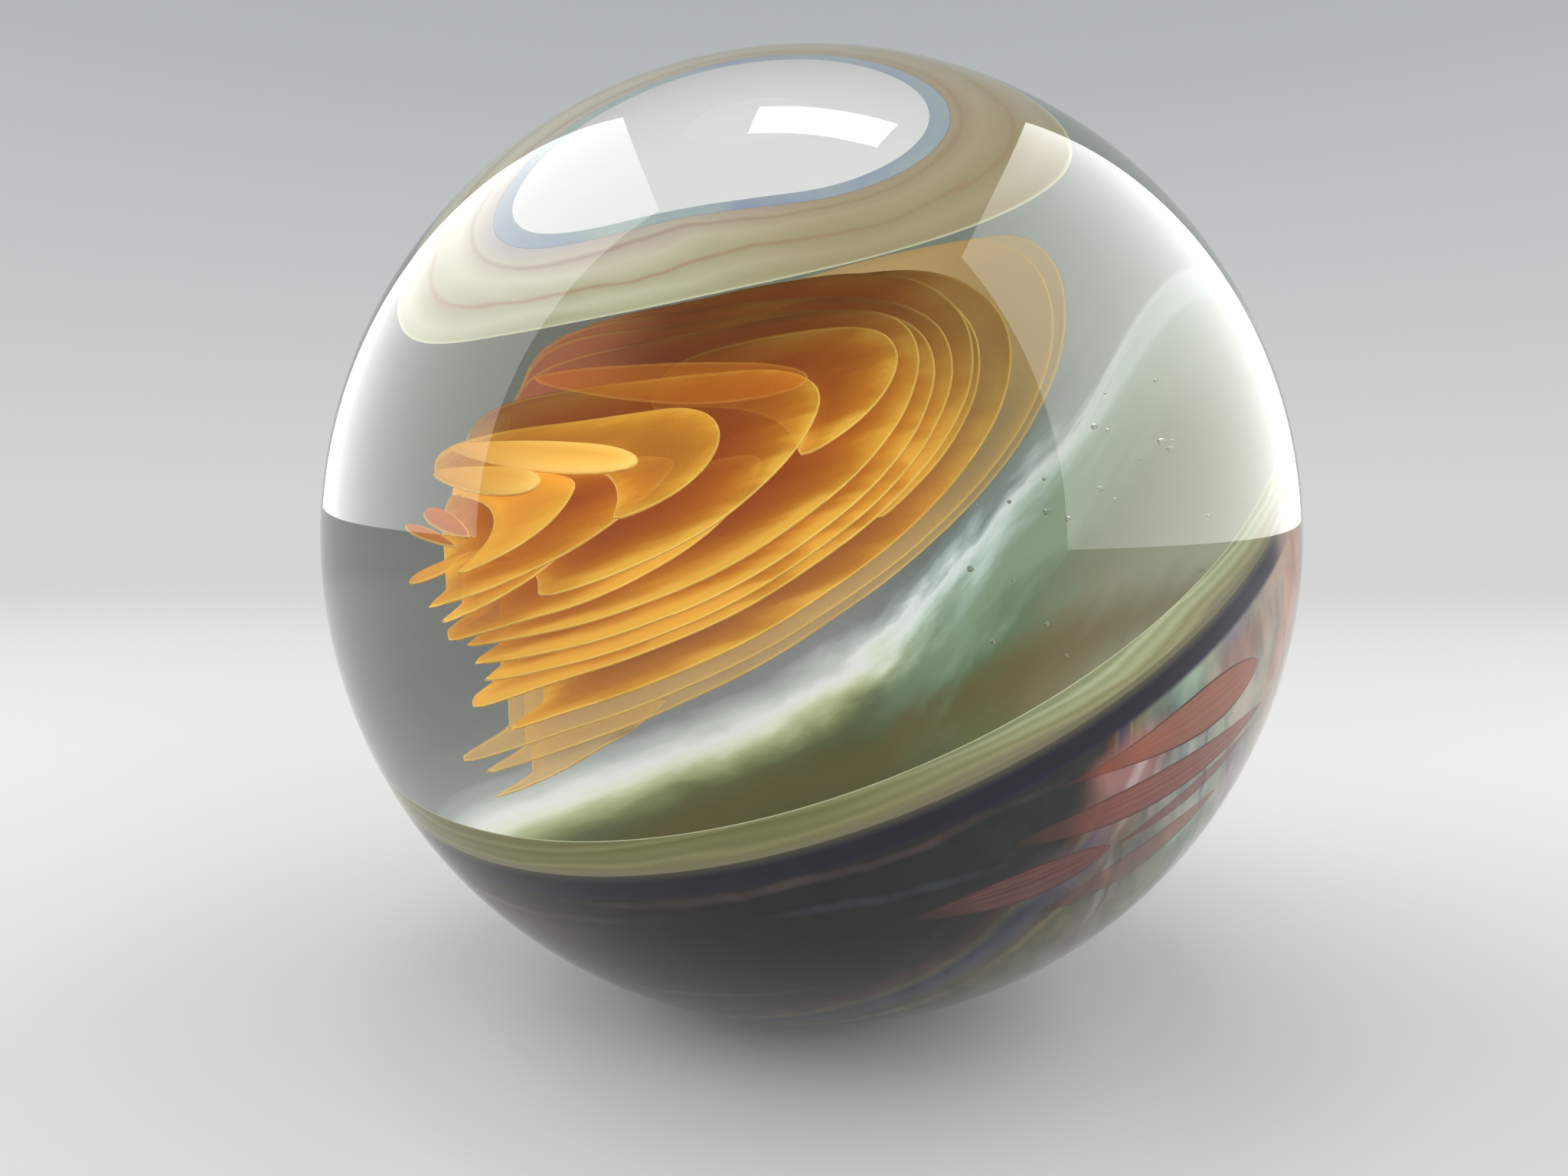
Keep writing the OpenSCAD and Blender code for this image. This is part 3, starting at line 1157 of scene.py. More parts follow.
FILMS = (
    Film(0, -5.9, 4.6, -11.6, 0.5, -6.0, -0.95, (-7.4, -6.6), (-12.6, -6.6, 3.4)),
    Film(1.1, -0.68, 4.0, -12.0, 0.4, 0.5, -0.4, (-3.0, -4.0), (-9.4, -6.6, 4.75), 8.35),
    Film(1.9, -1.42, 9.24, -12.6, 1.0, -2.2, -0.55, front=9.36),
    Film(2.45, -5.8, 6.0, -12.3, 1.2, -8.2, -0.3),
    Film(3, 2.9, 9.4, -11.9, 0.8, 4.9, -0.38, (-6.0, -2.5), (-12.8, -9.0, 4.6)),
    Film(4, 5.6, 5.7, -5.0, 0.8, 10.2, -0.46, (4.2, 1.0), (-6.2, -4.6, 7.9), 4.9),
    Film(4, 0.5, 8.0, -12.1, 1.3, -2.0, -0.1),
    Film(5, 6.3, 12.2, -11.6, 1.5, 10.6, -0.3, front=10.45),
    Film(6, 6.7, 12.6, -11.7, 1.5, 13.7, -0.5, front=10.8),
    Film(7, 7.2, 13.6, -11.5, 1.0, 17.0, -0.6, front=10.75),
    Film(8, 7.7, 14.6, -12.1, 1.2, stack=20.5),
    Film(9, 7.9, 14.0, -12.0, 0.8, middle=(5.5, 3.0), bite=(-6.6, -7.4, 10.4), front=8.9),
    Film(10, 8.9, 16.6, -11.1, 1.4, front=10.5, stack=17.0),
    Film(11, 10.0, 18.4, -13.3, 2.0, stack=30.0),
    Film(12, 10.2, 20.0, -12.7, 1.8, stack=30.0),
    Film(13, -3.0, 9.8, -12.8, 1.9, -8.0, 0.05, front=11.6, stack=30.0),
)


@dataclass(frozen=True)
class Fold:
    """A thick round-ended fold that lies on the films.

    Args:
        height: Height of its upper side, in millimetres.
        tip: Its right end.
        length: Its length.
        half_width: Half its width.
        turn: Direction from its tip to its other end, in degrees.
        tone: What its finish takes it for: -1 a golden fold, -2 a reddened lobe, -3 an orange tongue.
        flatness: Half its thickness against half its width.
        blunt: How much wider than half_width its tip starts.
        taper: How much of that it loses by its other end.
        middle: How far along it the middle of its rings is.
        points: How many points its outline has.
    """

    height: float
    tip: Point2
    length: float
    half_width: float
    turn: float
    tone: float = -1.0
    flatness: float = 0.55
    blunt: float = 1.15
    taper: float = 0.55
    middle: float = 0.45
    points: int = 160

    def outline(self) -> tuple[Vector, list[Vector]]:
        """Return its middle and its teardrop outline.

        Returns:
            The middle and the outline's points.
        """
        tip, turn = Vector(self.tip), Matrix.Rotation(math.radians(self.turn), 2)
        loop = []
        for i in range(self.points):
            angle = math.tau * i / self.points
            share = (1 - math.cos(angle)) / 2
            wide = self.half_width * math.sin(angle) * (self.blunt - self.taper * share)
            loop.append(tip + turn @ Vector((self.length * share, wide)))
        return tip + turn @ Vector((self.length * self.middle, 0)), loop


FOLDS = (
    Fold(9.6, (-7.1, -7.0), 5.4, 0.95, 138.0, flatness=0.42),
    Fold(9.3, (-3.4, -7.3), 9.2, 1.05, 140.0, flatness=0.36),
    Fold(7.1, (2.45, -1.3), 12.5, 1.55, 146.0, -3.0, 0.1),
    Fold(9.1, (-12.5, -6.0), 3.6, 0.34, -56.0, -2.0),
    Fold(9.2, (-11.6, -5.4), 3.6, 0.5, -63.0, -2.0),
    Fold(7.3, (-13.1, -6.8), 3.2, 0.5, 12.0, -1.0),
)


def step(value: float, low: float, high: float) -> float:
    """Return a soft step of a value from 0 at low to 1 at high."""
    share = min(max((value - low) / (high - low), 0.0), 1.0)
    return share * share * (3 - 2 * share)


def soft_least(values: Sequence[float], softness: float) -> float:
    """Return the least of some values, rounded off where two are alike."""
    least = min(values)
    return least - softness * math.log(sum(math.exp((least - v) / softness) for v in values))


def even(loop: list[Vector], spacing: float) -> list[Vector]:
    """Space an outline's points evenly.

    Args:
        loop: The outline.
        spacing: The distance between its new points.

    Returns:
        The new points.
    """
    lengths = [(b - a).length for a, b in zip(loop, loop[1:] + loop[:1])]
    total = sum(lengths)
    count = int(total / spacing)
    result: list[Vector] = []
    i, walked = 0, 0.0
    for n in range(count):
        goal = total * n / count
        while walked + lengths[i] < goal:
            walked += lengths[i]
            i += 1
        share = (goal - walked) / max(lengths[i], 1e-9)
        result.append(loop[i].lerp(loop[(i + 1) % len(loop)], share))
    return result


@dataclass
class AmberVeils:
    """The stack of amber films and the folds on top of it, in millimetres.

    Args:
        top: Height of the first film's upper side.
        pitch: Height from one film to the next.
        front: How far the first film's edge stands in front of the axis.
        front_step: How much further each next film's edge stands.
        half_thickness: Half a film's thickness.
        stack_at: Centre of the round that the stack keeps to.
        lip_at: How far back the first film may reach under the lip, 5 mm left of the axis.
        lip_step: How much further each next film may reach.
        lip_slope: Slope of that limit.
        back_at: How far left of the axis the limits at the back are given.
        lean: How much a film's left end bends in towards the back.
        toe_slope: Slope of the line that a toe ends at.
        toe_ramp: Where a toe's end starts and is over.
        end_weight: How strongly the left end counts in the outline.
        soft: Rounding of the outline's corners near the tip, and what the far ones have on top.
        soft_ramp: How far behind the tip that starts and is full.
        bite_soft: Rounding of a bite's corners.
        room: Radius of the ball that all films stay in.
        inset: The most that a film's middle is behind its tip, its share of the film and its slope.
        spacing: Distance between an outline's points.
        fine: The same where distances from an outline are measured.
        skin: A distance from the outline that counts as none.
        rays: Directions in which an outline is looked for.
        strides: The first and the last stride on the way to it.
        shares: How far each ring lies from the outline to the middle.
        roundness: How far in an edge's rounding goes, against half the thickness.
        wave_height: Height of the films' waves.
        wave_length: Their length.
    """

    top: float = 8.4
    pitch: float = 0.64
    front: float = 9.8
    front_step: float = 0.08
    half_thickness: float = 0.17
    stack_at: Point2 = (-5.0, 3.0)
    lip_at: float = 7.1
    lip_step: float = 1.22
    lip_slope: float = 0.22
    back_at: float = 5
    lean: float = 0.004
    toe_slope: float = 0.26
    toe_ramp: Point2 = (-0.1, 0.7)
    end_weight: float = 0.8
    soft: Point2 = (0.12, 1.3)
    soft_ramp: Point2 = (2, 9)
    bite_soft: float = 0.2
    room: float = 20.4
    inset: Point3 = (8.0, 0.6, 0.32)
    spacing: float = 0.4
    fine: float = 0.05
    skin: float = 0.026
    rays: int = 720
    strides: Point2 = (0.5, 0.001)
    shares: tuple[float, ...] = (0.004, 0.009, 0.016, 0.027, 0.045, 0.075, 0.13, 0.22, 0.38, 0.65)
    roundness: float = 4.5
    wave_height: float = 0.3
    wave_length: float = 7.0
    finish: Finish = field(default_factory=AmberSheetGlass)

    def centre_of(self, film: Film) -> Point2:
        """Return the centre of a film's front edge."""
        front = film.front or self.front + self.front_step * film.level
        return film.reach - film.radius, film.radius - front

    def tip_of(self, film: Film) -> Point2:
        """Return the point where a film's front edge meets its left end."""
        x, y = self.centre_of(film)
        return film.tip, y - math.sqrt(max(film.radius**2 - (film.tip - x) ** 2, 0.0))

    def depth(self, film: Film, x: float, y: float) -> float:
        """Return how deep a point is inside a film's outline, or below 0 outside it.

        Args:
            film: The film.
            x: The point's place across.
            y: Its place along.

        Returns:
            The depth in millimetres.
        """
        at_x, at_y = self.centre_of(film)
        length = math.hypot(1, film.slope)
        swept = max(0.0, -((x - at_x) + (y - at_y) * film.slope) / length)
        swept_x, swept_y = swept / length, swept * film.slope / length
        round_edge = film.radius - math.hypot(x - at_x + swept_x, y - at_y + swept_y)
        stack = film.stack - math.hypot(x - self.stack_at[0], y - self.stack_at[1])
        under_lip = self.lip_at + self.lip_step * film.level - self.lip_slope * (x + self.back_at) - y
        room = math.sqrt(self.room**2 - (self.top - self.pitch * film.level) ** 2) - math.hypot(x, y)
        back = (film.back + film.slope * (x + self.back_at) - y) / length
        tip = self.tip_of(film)
        behind = y - tip[1] - self.toe_slope * (x - tip[0])
        left = tip[0] + film.toe * step(behind, *self.toe_ramp) + self.lean * max(0.0, y + 2) ** 2
        near, far = self.soft_ramp
        softness = self.soft[0] + self.soft[1] * step(y, tip[1] + near, tip[1] + far)
        limits = (round_edge, stack, under_lip, room, back, (x - left) * self.end_weight)
        result = soft_least(limits, softness)
        if film.bite:
            bitten = math.hypot(x - film.bite[0], y - film.bite[1]) - film.bite[2]
            result = soft_least((result, bitten), self.bite_soft)
        return result

    def outline(self, film: Film) -> tuple[Vector, list[Vector]]:
        """Return a film's middle and its outline, found by walking out from the middle.

        Args:
            film: The film.

        Returns:
            The middle and the outline's points.
        """
        tip = self.tip_of(film)
        most, share, slope = self.inset
        inset = min(most, (film.reach - tip[0]) * share)
        middle = Vector(film.middle or (tip[0] + inset, tip[1] + inset * slope))
        loop = []
        for i in range(self.rays):
            ray = Vector((math.cos(math.tau * i / self.rays), math.sin(math.tau * i / self.rays)))
            reach, stride = 0.0, self.strides[0]
            while stride > self.strides[1]:
                ahead = middle + ray * (reach + stride)
                if self.depth(film, ahead.x, ahead.y) > 0:
                    reach += stride
                else:
                    stride /= 2
            loop.append(middle + ray * reach)
        return middle, even(loop, self.spacing)

    def disc(
        self, work: Work, middle: Vector, loop: list[Vector], height: float, half: float, tone: float
    ) -> None:
        """Add a flat disc of rings whose points know their distance from the outline.

        Args:
            work: The mesh that gets the disc.
            middle: The point that the rings shrink to.
            loop: The outline.
            height: Height of the disc's middle plane.
            half: Half its thickness.
            tone: The film's number from the top, or a fold's tone.
        """
        layers = work.verts.layers.float
        fine = even(loop, self.fine)
        tree = KDTree(len(fine))
        for i, point in enumerate(fine):
            tree.insert((*point, 0), i)
        tree.balance()
        known = {"film_height": height, "film_half": half, "film_tone": tone}

        def vert(point: Vector, share: float) -> Vert:
            """Add a point that is a share of the way from the outline to the middle.

            Args:
                point: The outline's point.
                share: The share.

            Returns:
                The point.
            """
            made = work.verts.new((*point.lerp(middle, share), 0))
            depth = max(tree.find(made.co)[2] - self.skin, 0.0) if share else 0.0
            for name, value in {"rim_depth": depth, **known}.items():
                made[layers[name]] = value
            return made

        rings = [[vert(point, share) for point in loop] for share in (0.0, *self.shares)]
        weave(work, [[*ring, ring[0]] for ring in rings])
        centre = vert(middle, 1.0)
        for here, after in zip(rings[-1], rings[-1][1:] + rings[-1][:1]):
            work.faces.new((here, after, centre))

    @staticmethod
    def tree() -> Tree:
        """Build the nodes that swell flat discs into round-edged, slightly wavy films of glass."""
        sizes = dict.fromkeys(("Edge_Roundness", "Wave_Height", "Wave_Length"), "Float")
        tree, given = geometry_tree("amber_film", **sizes)
        names = ("rim_depth", "film_half", "film_height")
        kind = "GeometryNodeInputNamedAttribute"
        nodes = (add(tree, kind, {"Name": name}, data_type="FLOAT") for name in names)
        depth, half, height = (node.outputs[0] for node in nodes)
        edge = add(tree, MATH, (half, given["Edge Roundness"]), operation="MULTIPLY")
        share = add(tree, MATH, (depth, edge), operation="DIVIDE", use_clamp=True)
        rest = add(tree, MATH, (1.0, share), operation="SUBTRACT")
        square = add(tree, MATH, (rest, rest), operation="MULTIPLY")
        left = add(tree, MATH, (1.0, square), operation="SUBTRACT")
        root = add(tree, MATH, (left,), operation="SQRT")
        swell = add(tree, MATH, (root, half), operation="MULTIPLY")
        pitch = add(tree, MATH, (1.0, given["Wave Length"]), operation="DIVIDE")
        noise = {"Vector": add(tree, "GeometryNodeInputPosition"), "Scale": pitch, "Detail": 1.0}
        centred = add(tree, MATH, (add(tree, NOISE, noise), 0.5), operation="SUBTRACT")
        wave = add(tree, MATH, (centred, given["Wave Height"], height), operation="MULTIPLY_ADD")
        both = add(tree, "GeometryNodeJoinGeometry")
        for side in ("ADD", "SUBTRACT"):
            offset = add(tree, JOIN, {2: add(tree, MATH, (wave, swell), operation=side)})
            part = add(tree, "GeometryNodeSetPosition", {"Geometry": given["Geometry"], "Offset": offset})
            if side == "SUBTRACT":
                part = add(tree, "GeometryNodeFlipFaces", {0: part})
            tree.links.new(part.outputs[0], both.inputs[0])
        closed = add(tree, "GeometryNodeMergeByDistance", {"Geometry": both, "Distance": 0.0002})
        return close_tree(tree, closed, given["Material"])

    def build(self) -> None:
        """Build the films and folds as one object and dress it."""
        work = bmesh.new()
        for name in ("rim_depth", "film_height", "film_half", "film_tone"):
            work.verts.layers.float.new(name)
        for film in FILMS:
            height = self.top - self.pitch * film.level - self.half_thickness
            self.disc(work, *self.outline(film), height, self.half_thickness, film.level)
        for fold in FOLDS:
            half = fold.half_width * fold.flatness
            self.disc(work, *fold.outline(), fold.height - half, half, fold.tone)
        mesh = bpy.data.meshes.new("amber_veils")
        work.to_mesh(mesh)
        work.free()
        veils = new_object("amber_veil_films", mesh)
        waves = {"Wave_Height": self.wave_height, "Wave_Length": self.wave_length}
        grow(veils, self.tree(), Edge_Roundness=self.roundness, Material=self.finish.make(), **waves)
        enlist(veils, "amber_glass", "amber_veils")


class Region(Enum):
    """The faces of the fumed bowl that are finished apart, each with its material number."""

    WALL = 0
    LIP = 1
    OUTSIDE = 2


INNER_LIP = (
    (-180, 0.8), (-20, 0.8), (30, 0.3), (69, -0.4), (78, -0.3), (88, 0.1), (96, 0.6), (104, 1.1),
    (117, 2.1), (126, 2.65), (140, 2.3), (180, 0.8),
)
OUTER_LIP = (
    (-180, 0.8), (40, 0.8), (60, 0.4), (83, 0.4), (90, 1.1), (96, 1.9), (102, 2.2), (122, 2.6), (140, 2.3),
    (180, 0.8),
)


def height_at(turn: float, edge: Sequence[Point2]) -> float:
    """Return the height of one edge of the lip, which was cut flat and has slumped at the far side.

    Args:
        turn: The direction, in degrees.
        edge: The edge's directions and heights.

    Returns:
        The height in millimetres, smoothed over a few degrees.
    """
    total = 0.0
    spread = (-6, -4, -2, 0, 2, 4, 6)
    for offset in spread:
        at = (turn + offset + 180) % 360 - 180
        for (low, a), (high, b) in zip(edge, edge[1:]):
            if low <= at <= high:
                total += a + (b - a) * (at - low) / (high - low)
                break
    return total / len(spread)


@dataclass
class Bowl:
    """The fumed bowl and the indigo backing on its outside, with a round gap in the backing.

    Args:
        segments: Divisions round the axis.
        steps: Divisions from the lip to the pole.
        lip_backing: Thickness of the backing at the lip, in millimetres.
        pole_backing: The same at the pole.
        gap_radius: Radius of the gap.
        gap_turn: Its middle's direction, in degrees.
        gap_rise: Its middle's rise.
        window_rings: Divisions of the swelling that fills the gap.
        window_depth: Thickness of that swelling.
        seam: Room between two kinds of glass, which keeps their faces apart.
        lip_shares: Where the lip's rings lie between its inner and its outer edge.
    """

    segments: int = 240
    steps: int = 90
    lip_backing: float = 0.5
    pole_backing: float = 1.8
    gap_radius: float = 12.3
    gap_turn: float = -57.0
    gap_rise: float = -33.0
    window_rings: int = 40
    window_depth: float = 2.2
    seam: float = 0.01
    lip_shares: tuple[float, ...] = (0.02, 0.25, 0.5, 0.75, 0.98)

    def backing_arc(self, turn: float, offset: float) -> list[Point2]:
        """Return the backing's inner face from the lip to the pole, moved out by an offset.

        Args:
            turn: The direction, in degrees.
            offset: How far it is moved, in millimetres.

        Returns:
            Points of radius and height.
        """
        lift = self.pole_backing - self.lip_backing
        radius = RADII.colour - self.lip_backing + offset
        start = math.asin((height_at(turn, OUTER_LIP) - lift) / radius)
        return arc(radius, start, -math.pi / 2, self.steps, lift)

    def shell_profile(self, turn: float) -> list[Point2]:
        """Return the bowl's section at a direction: up its wall, over its lip and down its outside.

        Args:
            turn: The direction, in degrees.

        Returns:
            Points of radius and height.
        """
        rim = height_at(turn, INNER_LIP)
        profile = arc(RADII.cavity, -math.pi / 2, math.asin(rim / RADII.cavity), self.steps)
        outside = self.backing_arc(turn, -self.seam)
        (inner, low), (outer, high) = profile[-1], outside[0]
        profile += [(inner + (outer - inner) * at, low + (high - low) * at) for at in self.lip_shares]
        return profile + outside

    def shell(self) -> None:
        """Build the bowl's body: its wall, its lip and the face that carries the backing."""
        lip = len(self.lip_shares) + 1
        bands = ((Region.WALL, self.steps), (Region.LIP, lip), (Region.OUTSIDE, self.steps))
        numbers = [region.value for region, count in bands for _ in range(count)]
        body = lathe(self.shell_profile, self.segments, numbers)
        self.add_window(body)
        finishes = (FumedWallGlass(), LipGlass(), BackingGlass("twisted_fume_glass"))
        dress("fumed_bowl_shell", "fumed_glass", "fumed_bowl", body, *finishes)

    def add_window(self, work: Work) -> None:
        """Add the round swelling of fumed glass that fills the backing's gap.

        Args:
            work: The mesh that gets it.
        """
        limit = math.asin((self.gap_radius - self.seam) / RADII.colour)
        turn = direction(self.gap_turn, self.gap_rise).to_track_quat("Z", "Y").to_matrix().to_4x4()
        outer = arc(RADII.colour, math.pi / 2, math.pi / 2 - limit, self.window_rings)
        section = [*outer, *((radius, height - self.window_depth) for radius, height in reversed(outer))]
        plug = lathe(lambda _: section, self.segments, [Region.OUTSIDE.value] * (len(section) - 1))
        bmesh.ops.transform(plug, matrix=turn, verts=plug.verts)
        spare = from_bmesh("window", plug)
        work.from_mesh(spare)
        bpy.data.meshes.remove(spare)

    def backing_column(self, turn: float, outer: bool) -> list[tuple[Vector, float, bool]]:
        """Return the points of the backing's outer or inner face at a direction.

        Args:
            turn: The direction, in degrees.
            outer: Whether they lie on the outer face.

        Returns:
            Each point's unit vector, its distance from the ball's centre and whether it lies
            in the gap, from the lip to the pole.
        """
        axis = direction(self.gap_turn, self.gap_rise)
        limit = math.asin(self.gap_radius / RADII.colour)
        inner_arc = self.backing_arc(turn, 0.0)
        top = math.asin(height_at(turn, OUTER_LIP) / RADII.colour)
        inner_top = math.atan2(inner_arc[0][1], inner_arc[0][0])
        column = []
        for j, (across, height) in enumerate(inner_arc):
            angle = math.atan2(height, across)
            if outer:
                angle += (top - inner_top) * (1 - j / self.steps)
            ray = direction(turn, math.degrees(angle))
            radius = RADII.colour if outer else math.hypot(across, height)
            column.append((ray, radius, ray.angle(axis) < limit))
        return column

    def on_gap_rim(self, ray: Vector, radius: float) -> Vector:
        """Move a direction onto the gap's round wall at a distance from the ball's centre.

        Args:
            ray: The direction.
            radius: The distance, in millimetres.

        Returns:
            The new direction.
        """
        axis = direction(self.gap_turn, self.gap_rise)
        away = (ray - axis * ray.dot(axis)).normalized()
        angle = math.asin(self.gap_radius / radius)
        return axis * math.cos(angle) + away * math.sin(angle)

    def backing(self) -> None:
        """Build the indigo backing with its round gap."""
        work = bmesh.new()
        count = self.segments
        turns = [360 * i / count for i in range(count)]
        sides = [[self.backing_column(turn, outer) for turn in turns] for outer in (True, False)]
        verts: dict[tuple[int, int, int], Vert] = {}

        def in_gap(j: int, i: int) -> bool:
            """Return whether a point of the outer face lies in the gap."""
            return sides[0][i % count][j][2]

        def vert(side: int, j: int, i: int) -> Vert:
            """Return a point of a face, one for all directions at the pole, moved out of the gap.

            Args:
                side: 0 for the outer face and 1 for the inner one.
                j: The point's number from the lip to the pole.
                i: Its number round the axis.

            Returns:
                The point.
            """
            key = (side, j, 0 if j == self.steps else i % count)
            if key not in verts:
                ray, radius, _ = sides[side][key[2]][j]
                if in_gap(j, key[2]):
                    ray = self.on_gap_rim(ray, radius)
                verts[key] = work.verts.new(ray * radius)
            return verts[key]

        for j in range(self.steps):
            for i in range(count):
                corners = [(j, i), (j, i + 1), (j + 1, i + 1), (j + 1, i)]
                if all(in_gap(*corner) for corner in corners):
                    continue
                for side in (0, 1):
                    work.faces.new(list(dict.fromkeys(vert(side, *corner) for corner in corners)))
        keys = {made: key for key, made in verts.items()}
        for edge in [edge for edge in work.edges if edge.is_boundary]:
            (side, *a), (_, *b) = (keys[made] for made in edge.verts)
            if side == 0:
                work.faces.new((verts[0, *a], verts[0, *b], verts[1, *b], verts[1, *a]))
        dress("indigo_backing_shell", "indigo_glass", "indigo_backing", work, BackingGlass())

    def build(self) -> None:
        """Build and dress the bowl and its backing."""
        self.shell()
        self.backing()


@dataclass
class Streak:
    """The silver streak: a crescent inlaid in the bowl's wall, thick along its middle.

    Args:
        turn: Direction of its arc's centre, in degrees.
        rise: Rise of its arc's centre.
        shift: How much higher the arc of its inner edge is centred.
        outer: Radius of its outer edge, in degrees.
        inner: Radius of its inner edge.
        least: The least distance of its inner edge from the arc's centre.
        stride: Step in which that edge is looked for.
        sweep: Half its length round the arc.
        steps: Divisions along it and across it.
        seam: How far its middle stands out of the wall, in millimetres.
        edge: Thickness of its edge.
        depth: How much thicker its middle is.
    """

    turn: float = 107
    rise: float = -9
    shift: float = 6.5
    outer: float = 34.5
    inner: float = 34.0
    least: float = 20
    stride: float = 0.1
    sweep: float = 62
    steps: tuple[int, int] = (120, 10)
    seam: float = 0.01
    edge: float = 0.02
    depth: float = 0.4
    finish: Finish = field(default_factory=FumedWallGlass)

    def build(self) -> None:
        """Build and dress the streak."""
        work = bmesh.new()
        along, across = self.steps
        axis, inner_axis = direction(self.turn, self.rise), direction(self.turn, self.rise + self.shift)
        side = Vector((0, 0, 1)).cross(axis).normalized()
        up = axis.cross(side)
        outer, inner, least, stride = map(math.radians, (self.outer, self.inner, self.least, self.stride))
        faces: tuple[list[list[Vert]], list[list[Vert]]] = ([], [])
        for i in range(along + 1):
            t = math.radians(-self.sweep + 2 * self.sweep * i / along)
            away = side * math.sin(t) - up * math.cos(t)

            def ray(angle: float) -> Vector:
                """Return the direction at an angle from the arc's centre."""
                return axis * math.cos(angle) + away * math.sin(angle)

            start = outer
            while start > least and ray(start).angle(inner_axis) > inner:
                start -= stride
            for face in faces:
                face.append([])
            for j in range(across + 1):
                middle = ray(start + (outer - start) * j / across)
                bulge = 1 - (2 * j / across - 1) ** 2
                radii = (RADII.cavity - self.seam * bulge, RADII.cavity + self.edge + self.depth * bulge)
                for face, radius in zip(faces, radii):
                    face[-1].append(work.verts.new(middle * radius))
        for face, flip in zip(faces, (False, True)):
            weave(work, face, flip)
        bmesh.ops.bridge_loops(work, edges=[edge for edge in work.edges if edge.is_boundary])
        dress("silver_streak_inlay", "silver_fume", "silver_streak", work, self.finish)


@dataclass(frozen=True)
class Leaf:
    """One leaf-shaped ribbon, in degrees.

    Args:
        turn: Its middle's direction.
        rise: Its middle's rise.
        roll: Slope of its length against the lip.
        half_length: Half its length.
        half_width: Half its width.
        skew: How far its widest place is towards its right end.
        tone: Its number in the glass's range of tones.
    """

    turn: float
    rise: float
    roll: float
    half_length: float
    half_width: float
    skew: float
    tone: float


@dataclass
class Ribbons:
    """The rose ribbons, leaves just under the clear skin.

    Args:
        leaves: The ribbons.
        steps: Divisions along a ribbon and across it.
        fullness: Power of a ribbon's width, which is less than 1 where its ends are blunt.
        rim_power: How suddenly the dark edge comes at a ribbon's ends.
        above: How far a ribbon's edge and crown stand out of the coloured layers, in millimetres.
        below: How far its edge and crown reach into them.
    """

    leaves: tuple[Leaf, ...] = (
        Leaf(-55, -5.6, -11, 14.0, 2.6, 2.0, 0),
        Leaf(-57, -11.0, -14, 17.0, 1.9, 0.9, 1),
        Leaf(-53, -15.4, -4, 10.0, 0.9, 1.0, 3),
        Leaf(-75, -12.4, -10, 10.5, 2.2, 1.4, 2),
        Leaf(-61, -19.4, -4, 11.5, 1.9, 1.0, 4),
    )
    steps: tuple[int, int] = (72, 12)
    fullness: float = 0.7
    rim_power: int = 8
    above: Point2 = (0.012, 0.02)
    below: Point2 = (0.05, 0.4)
    finish: Finish = field(default_factory=RibbonGlass)

    def add_leaf(self, work: Work, leaf: Leaf) -> None:
        """Add one ribbon as a closed leaf.

        Args:
            work: The mesh that gets it.
            leaf: The ribbon.
        """
        layers = work.verts.layers.float
        middle = direction(leaf.turn, leaf.rise)
        east = Vector((0, 0, 1)).cross(middle).normalized()
        north = middle.cross(east)
        c, s = math.cos(math.radians(leaf.roll)), math.sin(math.radians(leaf.roll))
        along, across = east * c + north * s, north * c - east * s
        tops: list[list[Vert]] = []
        lows: list[list[Vert]] = []
        for i in range(1, self.steps[0]):
            u = -math.cos(math.pi * i / self.steps[0])
            wide = leaf.half_width * math.sin(math.pi * ((u + 1) / 2) ** leaf.skew) ** self.fullness
            tops.append([])
            lows.append([])
            for j in range(self.steps[1] + 1):
                v = 2 * j / self.steps[1] - 1
                a, b = math.radians(u * leaf.half_length), math.radians(v * wide)
                ray = (middle * math.cos(a) + along * math.sin(a)) * math.cos(b) + across * math.sin(b)
                crown = (1 - v * v) * (1 - u * u)
                known = {
                    "edge_share": max(abs(v), abs(u) ** self.rim_power),
                    "leaf_tone": leaf.tone,
                    "leaf_side": v,
                    "leaf_end": u,
                }
                top = RADII.colour + self.above[0] + self.above[1] * crown
                low = RADII.colour - self.below[0] - self.below[1] * crown
                for rows, radius in ((tops, top), (lows, low)):
                    made = work.verts.new(ray * radius)
                    for name, value in known.items():
                        made[layers[name]] = value
                    rows[-1].append(made)
        weave(work, tops)
        weave(work, lows, True)
        for j in (0, -1):
            weave(work, [[row[j] for row in tops], [row[j] for row in lows]])
            weave(work, [tops[j], lows[j]])

    def build(self) -> None:
        """Build and dress the ribbons."""
        work = bmesh.new()
        for name in ("edge_share", "leaf_tone", "leaf_side", "leaf_end"):
            work.verts.layers.float.new(name)
        for leaf in self.leaves:
            self.add_leaf(work, leaf)
        dress("rose_ribbon_leaves", "rose_glass", "rose_ribbons", work, self.finish)


